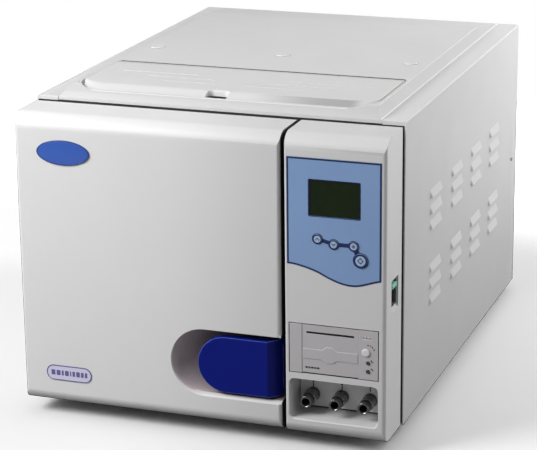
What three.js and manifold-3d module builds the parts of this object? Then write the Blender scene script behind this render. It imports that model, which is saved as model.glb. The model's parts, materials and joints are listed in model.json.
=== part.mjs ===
// Benchtop steam autoclave with a front door, a control column beside it and a water tank under the top lid.
// Millimetres, +Z up, front towards -Y. The working frame below has x = 0 on the middle plane,
// y = 0 on the casing's front plane and z = 0 on the casing's bottom edge; the root group then moves
// everything so that the origin is the middle of the footprint at the bottom of the feet.
import * as THREE from 'three';
import { mergeVertices } from 'three/addons/utils/BufferGeometryUtils.js';
import Module from 'manifold-3d';

const wasm = await Module();
wasm.setup();
const { Manifold, Mesh: SolidMesh } = wasm;

// ---------------------------------------------------------------- driving dimensions
const W = 465;              // casing width
const D = 578;              // casing depth behind its front plane
const H = 373.6;            // casing height at its top edges
const FOOT = 15;            // feet below the casing
const SHEET = 1.5;          // casing sheet
const CROWN = 12;           // raised moulding of the top cover
const LID_CROWN = 13;       // tank lid above the casing edge
const SEAM = 204;           // half width of the top cover
const FRONT = -71;          // front plane of the door and the column
const BACK = -6;            // back plane of the door and the column
const DOOR_X0 = -230.5, DOOR_X1 = 103, DOOR_Z0 = 3.5, DOOR_Z1 = 368;
const COL_X0 = 108.7, COL_X1 = 230.5, COL_Z0 = 2, COL_Z1 = 368.5;
const WALL = 3;             // moulded wall of the door and the column
const TOP_R = 19, LOW_R = 16, SIDE_R = 5;
const CH_X = -64, CH_Z = 160, CH_R = 123.5, CH_WALL = 3, CH_DEPTH = 450; // chamber
const HINGE_X = -221, HINGE_Y = -15;                                     // door pin
const LEVER_X = 94, LEVER_Y = -42;                                       // handle pivot
const LID_Y = 149.5, LID_Z = H + 7.4;                                    // tank lid pivot
const FIT_X = [129.8, 165.5, 200.7], FIT_Z = 39.7;                       // drain and fill couplings
const FAN_X = 140, FAN_Z = 130;
const KEYS = { key_up: [148.9, 246.9, 5.6], key_down: [168.4, 242.0, 5.6], key_select: [192.3, 241.9, 5.6], key_start: [200.6, 225.4, 8.4] };
const Y_MIDDLE = 254.15;    // middle of the depth from the badge to the inlet

// ---------------------------------------------------------------- solids
function solid(geometry) {
  const g = geometry.clone();
  for (const k of Object.keys(g.attributes)) if (k !== 'position') g.deleteAttribute(k);
  const m = mergeVertices(g, 1e-4);
  return new Manifold(new SolidMesh({ numProp: 3, vertProperties: new Float32Array(m.attributes.position.array), triVerts: new Uint32Array(m.index.array) }));
}
function geometryOf(s) {
  const m = s.getMesh();
  const g = new THREE.BufferGeometry();
  const n = m.vertProperties.length / m.numProp;
  const p = new Float32Array(n * 3);
  for (let i = 0; i < n; i++) for (let k = 0; k < 3; k++) p[3 * i + k] = m.vertProperties[i * m.numProp + k];
  g.setAttribute('position', new THREE.BufferAttribute(p, 3));
  g.setIndex(new THREE.BufferAttribute(new Uint32Array(m.triVerts), 1));
  g.computeVertexNormals();
  return g;
}
const basis = (a, b, c) => new THREE.Matrix4().makeBasis(new THREE.Vector3(...a), new THREE.Vector3(...b), new THREE.Vector3(...c));
function box(x0, x1, y0, y1, z0, z1) {
  const g = new THREE.BoxGeometry(x1 - x0, y1 - y0, z1 - z0);
  g.translate((x0 + x1) / 2, (y0 + y1) / 2, (z0 + z1) / 2);
  return solid(g);
}
function shapeOf(points) {
  const s = new THREE.Shape();
  points.forEach(([a, b], i) => (i ? s.lineTo(a, b) : s.moveTo(a, b)));
  s.closePath();
  return s;
}
function extrude(points, depth) {
  return new THREE.ExtrudeGeometry(shapeOf(points), { depth, bevelEnabled: false, steps: 1 });
}
function prismX(yz, x0, x1) { const g = extrude(yz, x1 - x0); g.applyMatrix4(basis([0, 1, 0], [0, 0, 1], [1, 0, 0])); g.translate(x0, 0, 0); return solid(g); }
function prismY(xz, y0, y1) { const g = extrude(xz, y1 - y0); g.applyMatrix4(basis([1, 0, 0], [0, 0, 1], [0, -1, 0])); g.translate(0, y1, 0); return solid(g); }
function prismZ(xy, z0, z1) { const g = extrude(xy, z1 - z0); g.translate(0, 0, z0); return solid(g); }
function cyl(axis, a, b, r, t0, t1, n = 24, r2 = r) {
  const g = new THREE.CylinderGeometry(r2, r, t1 - t0, n, 1);
  if (axis === 'x') { g.rotateZ(-Math.PI / 2); g.translate((t0 + t1) / 2, a, b); }
  if (axis === 'y') g.translate(a, (t0 + t1) / 2, b);
  if (axis === 'z') { g.rotateX(Math.PI / 2); g.translate(a, b, (t0 + t1) / 2); }
  return solid(g);
}
// profile points are [radius, y]; the solid turns about a line parallel to Y through (x, z)
function latheY(x, z, profile, n = 32) {
  const closed = profile.concat([profile[0]]);
  const g = new THREE.LatheGeometry(closed.map(([r, t]) => new THREE.Vector2(r, t)), n);
  let s = solid(g);
  if (s.volume() < 0) { g.setIndex(Array.from(g.index.array).reverse()); s = solid(g); }
  return s.translate([x, 0, z]);
}
function latheZ(x, y, profile, n = 32) {
  const closed = profile.concat([profile[0]]);
  const g = new THREE.LatheGeometry(closed.map(([r, t]) => new THREE.Vector2(r, t)), n);
  g.rotateX(Math.PI / 2);
  g.translate(x, y, 0);
  return solid(g);
}
function arc(cx, cy, r, a0, a1, n) {
  const out = [];
  for (let i = 0; i <= n; i++) { const a = (a0 + (a1 - a0) * i / n) * Math.PI / 180; out.push([cx + r * Math.cos(a), cy + r * Math.sin(a)]); }
  return out;
}
function roundRect(x0, x1, y0, y1, r, n = 4) {
  return [...arc(x1 - r, y0 + r, r, -90, 0, n), ...arc(x1 - r, y1 - r, r, 0, 90, n), ...arc(x0 + r, y1 - r, r, 90, 180, n), ...arc(x0 + r, y0 + r, r, 180, 270, n)];
}
// closed skin through rings of equal point count; rings are lists of [x, y, z]
function loft(rings) {
  const n = rings[0].length, pos = [], idx = [];
  for (const r of rings) for (const p of r) pos.push(...p);
  for (let i = 0; i + 1 < rings.length; i++) for (let j = 0; j < n; j++) {
    const a = i * n + j, b = i * n + (j + 1) % n, c = a + n, d = b + n;
    idx.push(a, b, c, b, d, c);
  }
  const cap = (start, flip) => { for (let j = 1; j + 1 < n; j++) flip ? idx.push(start, start + j + 1, start + j) : idx.push(start, start + j, start + j + 1); };
  cap(0, true); cap((rings.length - 1) * n, false);
  const make = (ix) => { const g = new THREE.BufferGeometry(); g.setAttribute('position', new THREE.BufferAttribute(new Float32Array(pos), 3)); g.setIndex(ix); return g; };
  let s = solid(make(idx));
  if (s.volume() < 0) { const r = []; for (let i = 0; i < idx.length; i += 3) r.push(idx[i], idx[i + 2], idx[i + 1]); s = solid(make(r)); }
  return s;
}
const union = (list) => list.slice(1).reduce((a, b) => a.add(b), list[0]);
const cut = (a, list) => list.reduce((s, b) => s.subtract(b), a);

// ---------------------------------------------------------------- scene
const root = new THREE.Group();
const parts = new THREE.Group();
parts.position.set(0, -Y_MIDDLE, FOOT);
root.add(parts);
function add(name, s, color, roughness, metalness = 0) {
  const mesh = new THREE.Mesh(geometryOf(s), new THREE.MeshStandardMaterial({ color, roughness, metalness }));
  mesh.name = name;
  parts.add(mesh);
  return mesh;
}
const GREY = 0xc9c7c4, WHITE = 0xdcdad6, STEEL = 0xb8babd, BLUE = 0x12237a, NAVY = 0x1a2f6c, DARK = 0x26272a, RUBBER = 0x3a3b3d;

// ---------------------------------------------------------------- casing
{
  // tray with two turned-up sides
  const e = 230.5, z0 = 0.5, t = 2;
  add('base_tray', prismY([[-e, z0], [e, z0], [e, 20], [e - t, 20], [e - t, z0 + t], [-e + t, z0 + t], [-e + t, 20], [-e, 20]], 3.2, 575.4), STEEL, 0.45, 0.9);
  for (const [nx, x] of [['left', -165], ['right', 165]]) for (const [ny, y] of [['front', 75], ['rear', 510]])
    add(`foot_${ny}_${nx}`, latheZ(x, y, [[0, -FOOT], [15, -FOOT], [17, -FOOT + 2], [14.5, -3], [14.5, 0.2], [0, 0.2]], 14), RUBBER, 0.85);
}
const LOUVRE_Y = [[110, 162], [213, 265], [313, 365], [413, 465]];
const LOUVRE_Z = [262, 242, 222, 167, 147, 127];
function sidePanel(sign) {
  // vertical sheet with a narrow return over the top
  const x = W / 2, r = 4, t = SHEET;
  let pts = [[x, 0.2], ...arc(x - r, H - r, r, 0, 90, 3), [SEAM + 0.3, H], [SEAM + 0.3, H - t], ...arc(x - r, H - r, r - t, 90, 0, 3), [x - t, 0.2]];
  if (sign < 0) pts = pts.map(([a, b]) => [-a, b]).reverse();
  let s = prismY(pts, 0, 577.5);
  const hoods = [], slots = [];
  const flip = (p) => (sign < 0 ? p.map(([a, b]) => [-a, b]).reverse() : p);
  for (const [y0, y1] of LOUVRE_Y) for (const z of LOUVRE_Z) {
    hoods.push(prismY(flip([[x - 0.6, z - 10], [x + 3, z - 10], [x + 3, z - 9], [x - 0.6, z + 0.6]]), y0, y1));
    slots.push(prismY(flip([[x - 3, z - 12], [x + 2, z - 12], [x + 2, z - 8.9], [x - 1.4, z - 0.6], [x - 3, z - 0.6]]), y0 + 1.2, y1 - 1.2));
  }
  s = cut(union([s, ...hoods]), slots);
  return cut(s, [cyl('x', 550, 187.5, 2.2, sign > 0 ? x - 5 : -x - 5, sign > 0 ? x + 5 : -x + 5, 10)]);
}
add('right_side_panel', sidePanel(1), GREY, 0.5, 0.1);
add('left_side_panel', sidePanel(-1), GREY, 0.5, 0.1);
for (const [n, sg] of [['right', 1], ['left', -1]]) {
  const a = sg > 0 ? [W / 2 + 0.3, W / 2 + 1.6] : [-W / 2 - 1.6, -W / 2 - 0.3];
  const b = sg > 0 ? [W / 2 - 9, W / 2 + 0.6] : [-W / 2 - 0.6, -W / 2 + 9];
  add(`casing_screw_${n}`, union([cyl('x', 550, 187.5, 3.6, a[0], a[1], 12), cyl('x', 550, 187.5, 1.8, b[0], b[1], 8)]), STEEL, 0.35, 1);
}
{
  // front frame: the plate behind the door and the column
  const p = prismY([[-230.6, 2.9], [230.6, 2.9], [230, 370.3], [-230, 370.3]], 0.7, 2.9);
  add('front_frame', cut(p, [cyl('y', CH_X, CH_Z, 139, -1, 5, 36), box(122, 214, -1, 5, 88, 330), cyl('y', 85, 250, 4.6, -1, 5, 12)]), STEEL, 0.45, 0.6);
  // rear panel with a fan grille, slots and the inlet's hole
  const r = prismY([[-230.6, 2.9], [230.6, 2.9], [229.4, 371.3], [-229.4, 371.3]], 575.7, 577.2);
  const holes = [box(148, 180, 570, 580, 31, 54)];
  for (let i = 0; i < 7; i++) holes.push(box(FAN_X - 50 + Math.abs(i - 3) * 6, FAN_X + 50 - Math.abs(i - 3) * 6, 570, 580, FAN_Z - 50 + i * 15, FAN_Z - 43 + i * 15));
  for (let i = 0; i < 6; i++) holes.push(box(-190, -90, 570, 580, 230 + i * 15, 236 + i * 15));
  add('rear_panel', cut(r, holes), GREY, 0.5, 0.1);
}
// ---------------------------------------------------------------- top cover, lid and tank
{
  const skin = 2.4;
  const yz = (d) => [[0.4 + d * 0.8, H - 12], [0.4 + d * 0.8, H - d], [8 + d * 0.6, H + 4.5 - d], [26 + d * 0.4, H + CROWN - d], [488, H + CROWN - d], [577.3 - d * 0.8, H - d * 0.6], [577.3 - d * 0.8, H - 12]];
  const xz = (d) => [[-SEAM + 0.1 + d * 0.8, H - 12], [-SEAM + 0.1 + d * 0.8, H - d * 0.6], [-187 + d * 0.3, H + CROWN - d], [187 - d * 0.3, H + CROWN - d], [SEAM - 0.1 - d * 0.8, H - d * 0.6], [SEAM - 0.1 - d * 0.8, H - 12]];
  const outer = prismX(yz(0), -SEAM, SEAM).intersect(prismY(xz(0), 0, D));
  const inner = prismX(yz(skin), -SEAM, SEAM).intersect(prismY(xz(skin), 0, D));
  let s = outer.subtract(inner).subtract(box(-240, 240, -10, 600, H - 20, H - 2));
  const opening = [...arc(157, 43.6, 33.4, -90, 0, 6), ...arc(184.9, 151.9, 5.5, 0, 90, 3), ...arc(-184.9, 151.9, 5.5, 90, 180, 3), ...arc(-157, 43.6, 33.4, 180, 270, 6)];
  s = s.subtract(prismZ(opening, H - 20, H + 40));
  for (const x of [-174, 0, 170]) s = s.subtract(cyl('z', x, 244, 4.6, H - 5, H + 30, 14));
  add('top_cover', s, WHITE, 0.5);
  for (const [n, x] of [['left', -174], ['centre', 0], ['right', 170]])
    add(`cover_plug_${n}`, latheZ(x, 244, [[0, H + 7], [4, H + 7], [4, H + CROWN + 0.3], [9, H + CROWN + 0.3], [9, H + CROWN + 0.9], [7.4, H + CROWN + 1.7], [0, H + CROWN + 1.9]], 14), WHITE, 0.5);
}
{
  const outline = (d) => [...arc(155.6, 43.6, 32.6 - d, -90, 0, 6), ...arc(184, 151.5, Math.max(4.2 - d, 1), 0, 90, 3), ...arc(-184, 151.5, Math.max(4.2 - d, 1), 90, 180, 3), ...arc(-155.6, 43.6, 32.6 - d, 180, 270, 6)];
  const prof = (d) => [[5, H + 0.9 - (d ? 10 : 0)], [11 + d, H + 0.9 - (d ? 10 : 0)], [11 + d, H + 6 - d * 0.4], [14 + d * 0.8, H + 9.4 - d * 0.7], [19 + d * 0.5, H + 12 - d * 0.9], [26, H + LID_CROWN - d], [152.6, H + LID_CROWN - d], [154.8 - d * 0.8, H + 12.2 - d], [155.7 - d, H + 10], [155.7 - d, H + 0.9 - (d ? 10 : 0)]].slice(1);
  const outer = prismX(prof(0), -188.2, 188.2).intersect(prismZ(outline(0), H, H + 20));
  const inner = prismX(prof(2.2), -186, 186).intersect(prismZ(outline(2.2), H - 20, H + 20));
  let s = outer.subtract(inner);
  // finger notch behind the front lip, with a skirt wall round it
  const half = (kx, ky, y0) => arc(0, 0, 1, 0, 180, 14).map(([a, b]) => [-3.6 + a * kx, y0 + b * ky]);
  const notch = half(14.5, 17, 14.8);
  const skirt = prismZ(half(16.5, 19.6, 14.2), H + 1, H + 20).subtract(prismZ(notch, H - 3, H + 21)).intersect(outer);
  s = s.subtract(prismZ(notch, H - 2, H + 20)).add(skirt.subtract(box(-30, 30, 0, 16, H - 5, H + 6)));
  // bosses that run on the hinge rod
  for (const x of [-98, 98]) s = s.add(box(x - 2.5, x + 2.5, LID_Y - 3.2, 154, H + 3.2, H + 11.2));
  // ribs raised on the upper face
  for (const sg of [-1, 1]) for (const [a, b, y] of [[58, 162, 102], [32, 121, 83], [12, 92, 63]]) {
    const x0 = sg > 0 ? a : -b, x1 = sg > 0 ? b : -a;
    s = s.add(prismX([[y - 1.6, H + LID_CROWN - 1], [y + 1.6, H + LID_CROWN - 1], [y + 0.7, H + LID_CROWN + 0.8], [y - 0.7, H + LID_CROWN + 0.8]], x0, x1));
  }
  const gaps = [cyl('x', LID_Y, LID_Z, 1.9, -110, 110, 12)];
  for (const x of [-107, 107]) gaps.push(box(x - 3, x + 3, 152.6, 158, H - 2, H + 10.5));
  add('tank_lid', cut(s, gaps), WHITE, 0.45);
  // hinge rod
  add('lid_hinge_rod', cyl('x', LID_Y, LID_Z, 1.5, -112, 112, 12), STEEL, 0.3, 1);
}
{
  // open tank with a flange round its mouth and two lugs for the lid's rod
  const zTop = H - 2.5;
  let s = union([prismZ(roundRect(-180, 180, 18, 142, 7, 2), 302, zTop), prismZ(roundRect(-196, 196, 6, 162, 10, 3), zTop - 2.5, zTop)]);
  s = s.subtract(prismZ(roundRect(-177.5, 177.5, 20.5, 139.5, 5, 2), 304.5, zTop + 2));
  for (const x of [-107, 107]) s = s.add(union([box(x - 1.6, x + 1.6, LID_Y - 2.6, LID_Y + 2.6, zTop - 1, LID_Z), cyl('x', LID_Y, LID_Z, 2.6, x - 1.6, x + 1.6, 12)])).subtract(cyl('x', LID_Y, LID_Z, 1.8, x - 3, x + 3, 12));
  add('water_tank', s, 0xe9eaea, 0.5);
}
// ---------------------------------------------------------------- chamber
{
  const r = CH_R, w = CH_WALL, b = CH_DEPTH - 5.4;
  add('chamber_vessel', latheY(CH_X, CH_Z, [[r, -5.4], [137, -5.4], [137, 3.5], [r + w, 3.5], [r + w, b - 12], [r - 18, b + 3], [0, b + 8], [0, b + 5], [r - 19, b], [r, b - 13]], 36), STEEL, 0.25, 1);
  add('chamber_insulation', latheY(CH_X, CH_Z, [[r + w + 0.9, 14], [139.5, 14], [139.5, 420], [r + w + 0.9, 420]], 32), 0xb9b6a8, 0.95);
  add('safety_valve', latheY(CH_X, CH_Z + 70, [[0, 456.6], [9, 456.6], [9, 466], [6, 468], [6, 478], [11, 480], [11, 496], [7, 500], [0, 500]], 14), 0xb08d4f, 0.35, 1);
}
// ---------------------------------------------------------------- machinery
{
  const pump = union([cyl('y', 150, 66, 34, 290, 402, 24), box(116, 184, 398, 436, 30, 100), box(112, 188, 300, 426, 4.5, 10), box(126, 174, 310, 420, 8, 45)]);
  add('vacuum_pump', pump, 0x4c4f54, 0.5, 0.6);
  add('water_pump', union([cyl('y', 150, 42, 22, 200, 256, 20), box(132, 168, 190, 262, 4.5, 30), cyl('y', 150, 42, 7, 182, 202, 12)]), 0x3e4045, 0.5, 0.5);
  let c = box(80, 200, 512, 540, 70, 190);
  for (let i = 0; i < 9; i++) c = c.subtract(box(86 + i * 12.6, 94 + i * 12.6, 500, 522, 74, 186));
  for (let i = 0; i < 9; i++) c = c.subtract(box(86 + i * 12.6, 94 + i * 12.6, 530, 550, 74, 186));
  add('condenser', c, 0xa9abae, 0.4, 0.9);
  let sh = box(75, 205, 545, 571, 65, 195).subtract(cyl('y', FAN_X, FAN_Z, 60, 540, 580, 32));
  sh = sh.add(cyl('y', FAN_X, FAN_Z, 20, 567, 571, 20)).add(box(76, 204, 567, 571, 128, 132)).add(box(138, 142, 567, 571, 66, 194));
  add('fan_frame', sh, DARK, 0.6);
  const blades = [cyl('y', FAN_X, FAN_Z, 20, 548, 564, 20)];
  for (let i = 0; i < 7; i++) {
    const g = new THREE.BoxGeometry(39, 1.6, 22);
    g.rotateX(0.6); g.translate(37, 556, 0); g.rotateY(i * 2 * Math.PI / 7); g.translate(FAN_X, 0, FAN_Z);
    blades.push(solid(g));
  }
  add('fan_rotor', union(blades).intersect(cyl('y', FAN_X, FAN_Z, 57, 546, 566, 32)), DARK, 0.6);
  const coils = [box(96, 212, 470, 490, 214, 232)];
  for (let i = 0; i < 4; i++) coils.push(box(100 + i * 28, 122 + i * 28, 468, 492, 230, 262));
  add('valve_block', union(coils), 0x8d7a4a, 0.5, 0.6);
  add('power_inlet', union([box(141, 187, 577.5, 581, 28.5, 56.5), box(149, 179, 556, 578, 32, 53)]).subtract(prismY([[152, 34.5], [176, 34.5], [176, 46], [172, 50.5], [156, 50.5], [152, 46]], 563, 590)), DARK, 0.5);
}
// ---------------------------------------------------------------- door
const sideProfile = (z0, z1, d) => [[BACK + (d ? 20 : 0), z0 + d], ...arc(FRONT + LOW_R, z0 + LOW_R, LOW_R - d, -90, -180, 4), ...arc(FRONT + TOP_R, z1 - TOP_R, TOP_R - d, 180, 90, 5), [BACK + (d ? 20 : 0), z1 - d]].reverse();
const planProfile = (x0, x1, d) => [[x0 + d, BACK + (d ? 20 : 0)], ...arc(x0 + SIDE_R, FRONT + SIDE_R, SIDE_R - d, 180, 270, 3), ...arc(x1 - SIDE_R, FRONT + SIDE_R, SIDE_R - d, 270, 360, 3), [x1 - d, BACK + (d ? 20 : 0)]];
function shell(x0, x1, z0, z1) {
  const o = prismX(sideProfile(z0, z1, 0), x0, x1).intersect(prismZ(planProfile(x0, x1, 0), z0 - 5, z1 + 5));
  const i = prismX(sideProfile(z0, z1, WALL), x0 + WALL, x1 - WALL).intersect(prismZ(planProfile(x0, x1, WALL), z0 - 5, z1 + 5));
  return [o, o.subtract(i), i];
}
{
  const [outer, skin, hollow] = shell(DOOR_X0, DOOR_X1, DOOR_Z0, DOOR_Z1);
  // scooped recess behind the handle, open at the door's right edge
  const ring = (xl, zc, h, y, xr) => { const out = []; const n = 12; for (let i = 0; i <= n; i++) { const a = (90 + 180 * i / n) * Math.PI / 180; out.push([xl + h + h * Math.cos(a), y, zc + h * Math.sin(a)]); } out.push([xr, y, zc - h], [xr, y, zc + h]); return out; };
  const R = [[-35.6, 80, 40.4, -76], [-35.6, 80, 40.4, -71], [-32, 80, 39.2, -61], [-23, 80, 37.8, -50], [-8, 80, 34.5, -41], [12, 80, 28, -34]];
  const scoop = loft(R.map(([x, z, h, y]) => ring(x, z, h, y, 130)));
  const pan = loft([[-38.8, 80, 43.6, -70], [-35.5, 80, 42.4, -61], [-26.5, 80, 41, -50], [-11.5, 80, 37.8, -40], [8, 80, 31.5, -31]].map(([x, z, h, y]) => ring(x, z, h, y, 130))).intersect(prismX(sideProfile(DOOR_Z0, DOOR_Z1, 1), DOOR_X0 + 1, DOOR_X1));
  let s = skin.add(pan).subtract(scoop);
  s = cut(s, [
    cyl('z', LEVER_X, LEVER_Y, 4.4, 36, 124, 16),                        // sockets for the handle's trunnions
    box(84, 99.5, -38, -25, 71, 89), box(98, 106, -29, -20, 71.3, 88.7),  // window for the lever's tooth, mouth for the bolt
    box(-240, -226, -31, 0, 63, 82), box(-240, -226, -31, 0, 284, 303),   // slots for the hinge arms
  ]);
  add('door_cover', s, WHITE, 0.42);
  let b = prismY(roundRect(DOOR_X0 + WALL + 0.4, DOOR_X1 - WALL - 0.4, DOOR_Z0 + WALL + 0.4, DOOR_Z1 - WALL - 0.4, 2, 2), -8.4, -6.6);
  b = cut(b, [cyl('y', CH_X, CH_Z, 139.4, -12, 0, 32), box(-230, -205, -12, 0, 63, 303), cyl('y', 85, 250, 4.6, -12, 0, 12)]);
  add('door_back_plate', b, STEEL, 0.4, 0.8);
  add('pressure_plate', latheY(CH_X, CH_Z, [[0, -18], [134, -18], [138, -15], [138, -6.4], [134.4, -6.4], [134.4, -9.2], [125.6, -9.2], [125.6, -6.4], [0, -6.4]], 32), STEEL, 0.3, 1);
  add('door_gasket', latheY(CH_X, CH_Z, [[126, -8.9], [134, -8.9], [134, -6.8], [132, -5.7], [128, -5.7], [126, -6.8]], 32), 0xb6643c, 0.7);
  const arm = union([cyl('z', HINGE_X, HINGE_Y, 6, 82.5, 283.5, 20), box(HINGE_X, -203, -20.5, -10.5, 82.5, 283.5), box(-208, -190, -34, -18.4, 100, 220), box(-206, 84, -34, -18.4, 142, 178), cyl('y', CH_X, CH_Z, 30, -42, -18.4, 24)]);
  add('door_bridge', arm.subtract(cyl('z', HINGE_X, HINGE_Y, 3.4, 70, 300, 20)), 0x8f9296, 0.5, 0.9);
  const plan = [[-215.5, -2.4], ...arc(HINGE_X, HINGE_Y, 6, 0, -180, 8), [-227, -2.4]];
  let br = union([prismZ(plan, 66, 78.5), prismZ(plan, 287.5, 300), box(-224, -203.5, -2.8, 0.3, 66, 79), box(-224, -203.5, -2.8, 0.3, 287, 300), box(-213.5, -203.5, -2.8, 0.3, 66, 300)]);
  add('hinge_bracket', br.subtract(cyl('z', HINGE_X, HINGE_Y, 3.4, 60, 310, 20)), STEEL, 0.4, 0.9);
  add('hinge_pin', union([cyl('z', HINGE_X, HINGE_Y, 3, 62, 301, 20), cyl('z', HINGE_X, HINGE_Y, 5, 300.4, 303.4, 16)]), STEEL, 0.25, 1);
  const ell = (rx, rz) => arc(0, 0, 1, 0, 360, 24).slice(0, -1).map(([a, c]) => [-167.5 + rx * a, 323.3 + rz * c]);
  add('door_badge', union([prismY(ell(34.2, 15.4), FRONT - 1.2, FRONT - 0.3), prismY(ell(32.4, 13.8), FRONT - 1.7, FRONT - 1)]), 0x3f66b0, 0.25);
  add('capacity_plate', prismY(roundRect(-201, -141, 34, 53.6, 9.5, 6), FRONT - 0.9, FRONT - 0.3), 0xcdcbe0, 0.4);
}
{
  // lever handle: flat paddle, curved cheek and barrel with two trunnions and a tooth
  const zc = 78.75, r = 35.25;
  const face = (d) => [...arc(33.25, zc, r - d, 90, 270, 14), [104, zc - r + d], [104, zc + r - d]];
  const cheek = [[74, -70.8], [80, -70.8], [87, -69.4], [92.5, -66], [97, -60], [100, -52], [92, -52], [89.5, -57], [85, -60.6], [79, -62], [74, -62]];
  const armP = [[100, -52.5], [100.6, -46], [100.6, -42], ...arc(LEVER_X, LEVER_Y, 6.6, 0, 180, 8), [87.6, -50], [91, -53.5]];
  let h = union([prismY(face(0), -70.2, -62).intersect(box(-10, 76, -80, -50, 0, 200)), prismY(face(1.1), -70.8, -70).intersect(box(-10, 76, -80, -50, 0, 200)), prismZ(cheek.slice().reverse(), zc - r, zc + r), prismZ(armP, 52, 106)]);
  // hollow back of the paddle
  h = h.subtract(prismY([...arc(33.25, zc, r - 5, 90, 270, 12), [72, zc - r + 5], [72, zc + r - 5]], -66.5, -60));
  h = h.add(cyl('z', LEVER_X, LEVER_Y, 4, 41, 117.5, 16)).add(prismZ([[92.2, -39], [96.2, -39], [96.2, -24.6], [92.2, -24.6]], 75, 85));
  add('door_handle', h, BLUE, 0.25);
  let bolt = union([box(48, 101, -28.4, -21, 72, 88), box(100, 107, -28.4, -21, 74, 86)]).subtract(box(89.6, 98.8, -30, -23.6, 70, 90)).subtract(prismZ([[104, -20], [108, -20], [108, -24]], 70, 90));
  add('latch_bolt', bolt, STEEL, 0.3, 1);
  add('lock_solenoid', union([box(72, 98, 8, 44, 236, 264), box(66, 104, 5, 8.4, 238, 262)]).subtract(cyl('y', 85, 250, 4.6, 2, 38, 14)), 0x55585c, 0.5, 0.7);
  add('lock_pin', union([cyl('y', 85, 250, 4, -1.2, 34, 14)]), STEEL, 0.3, 1);
}
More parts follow.
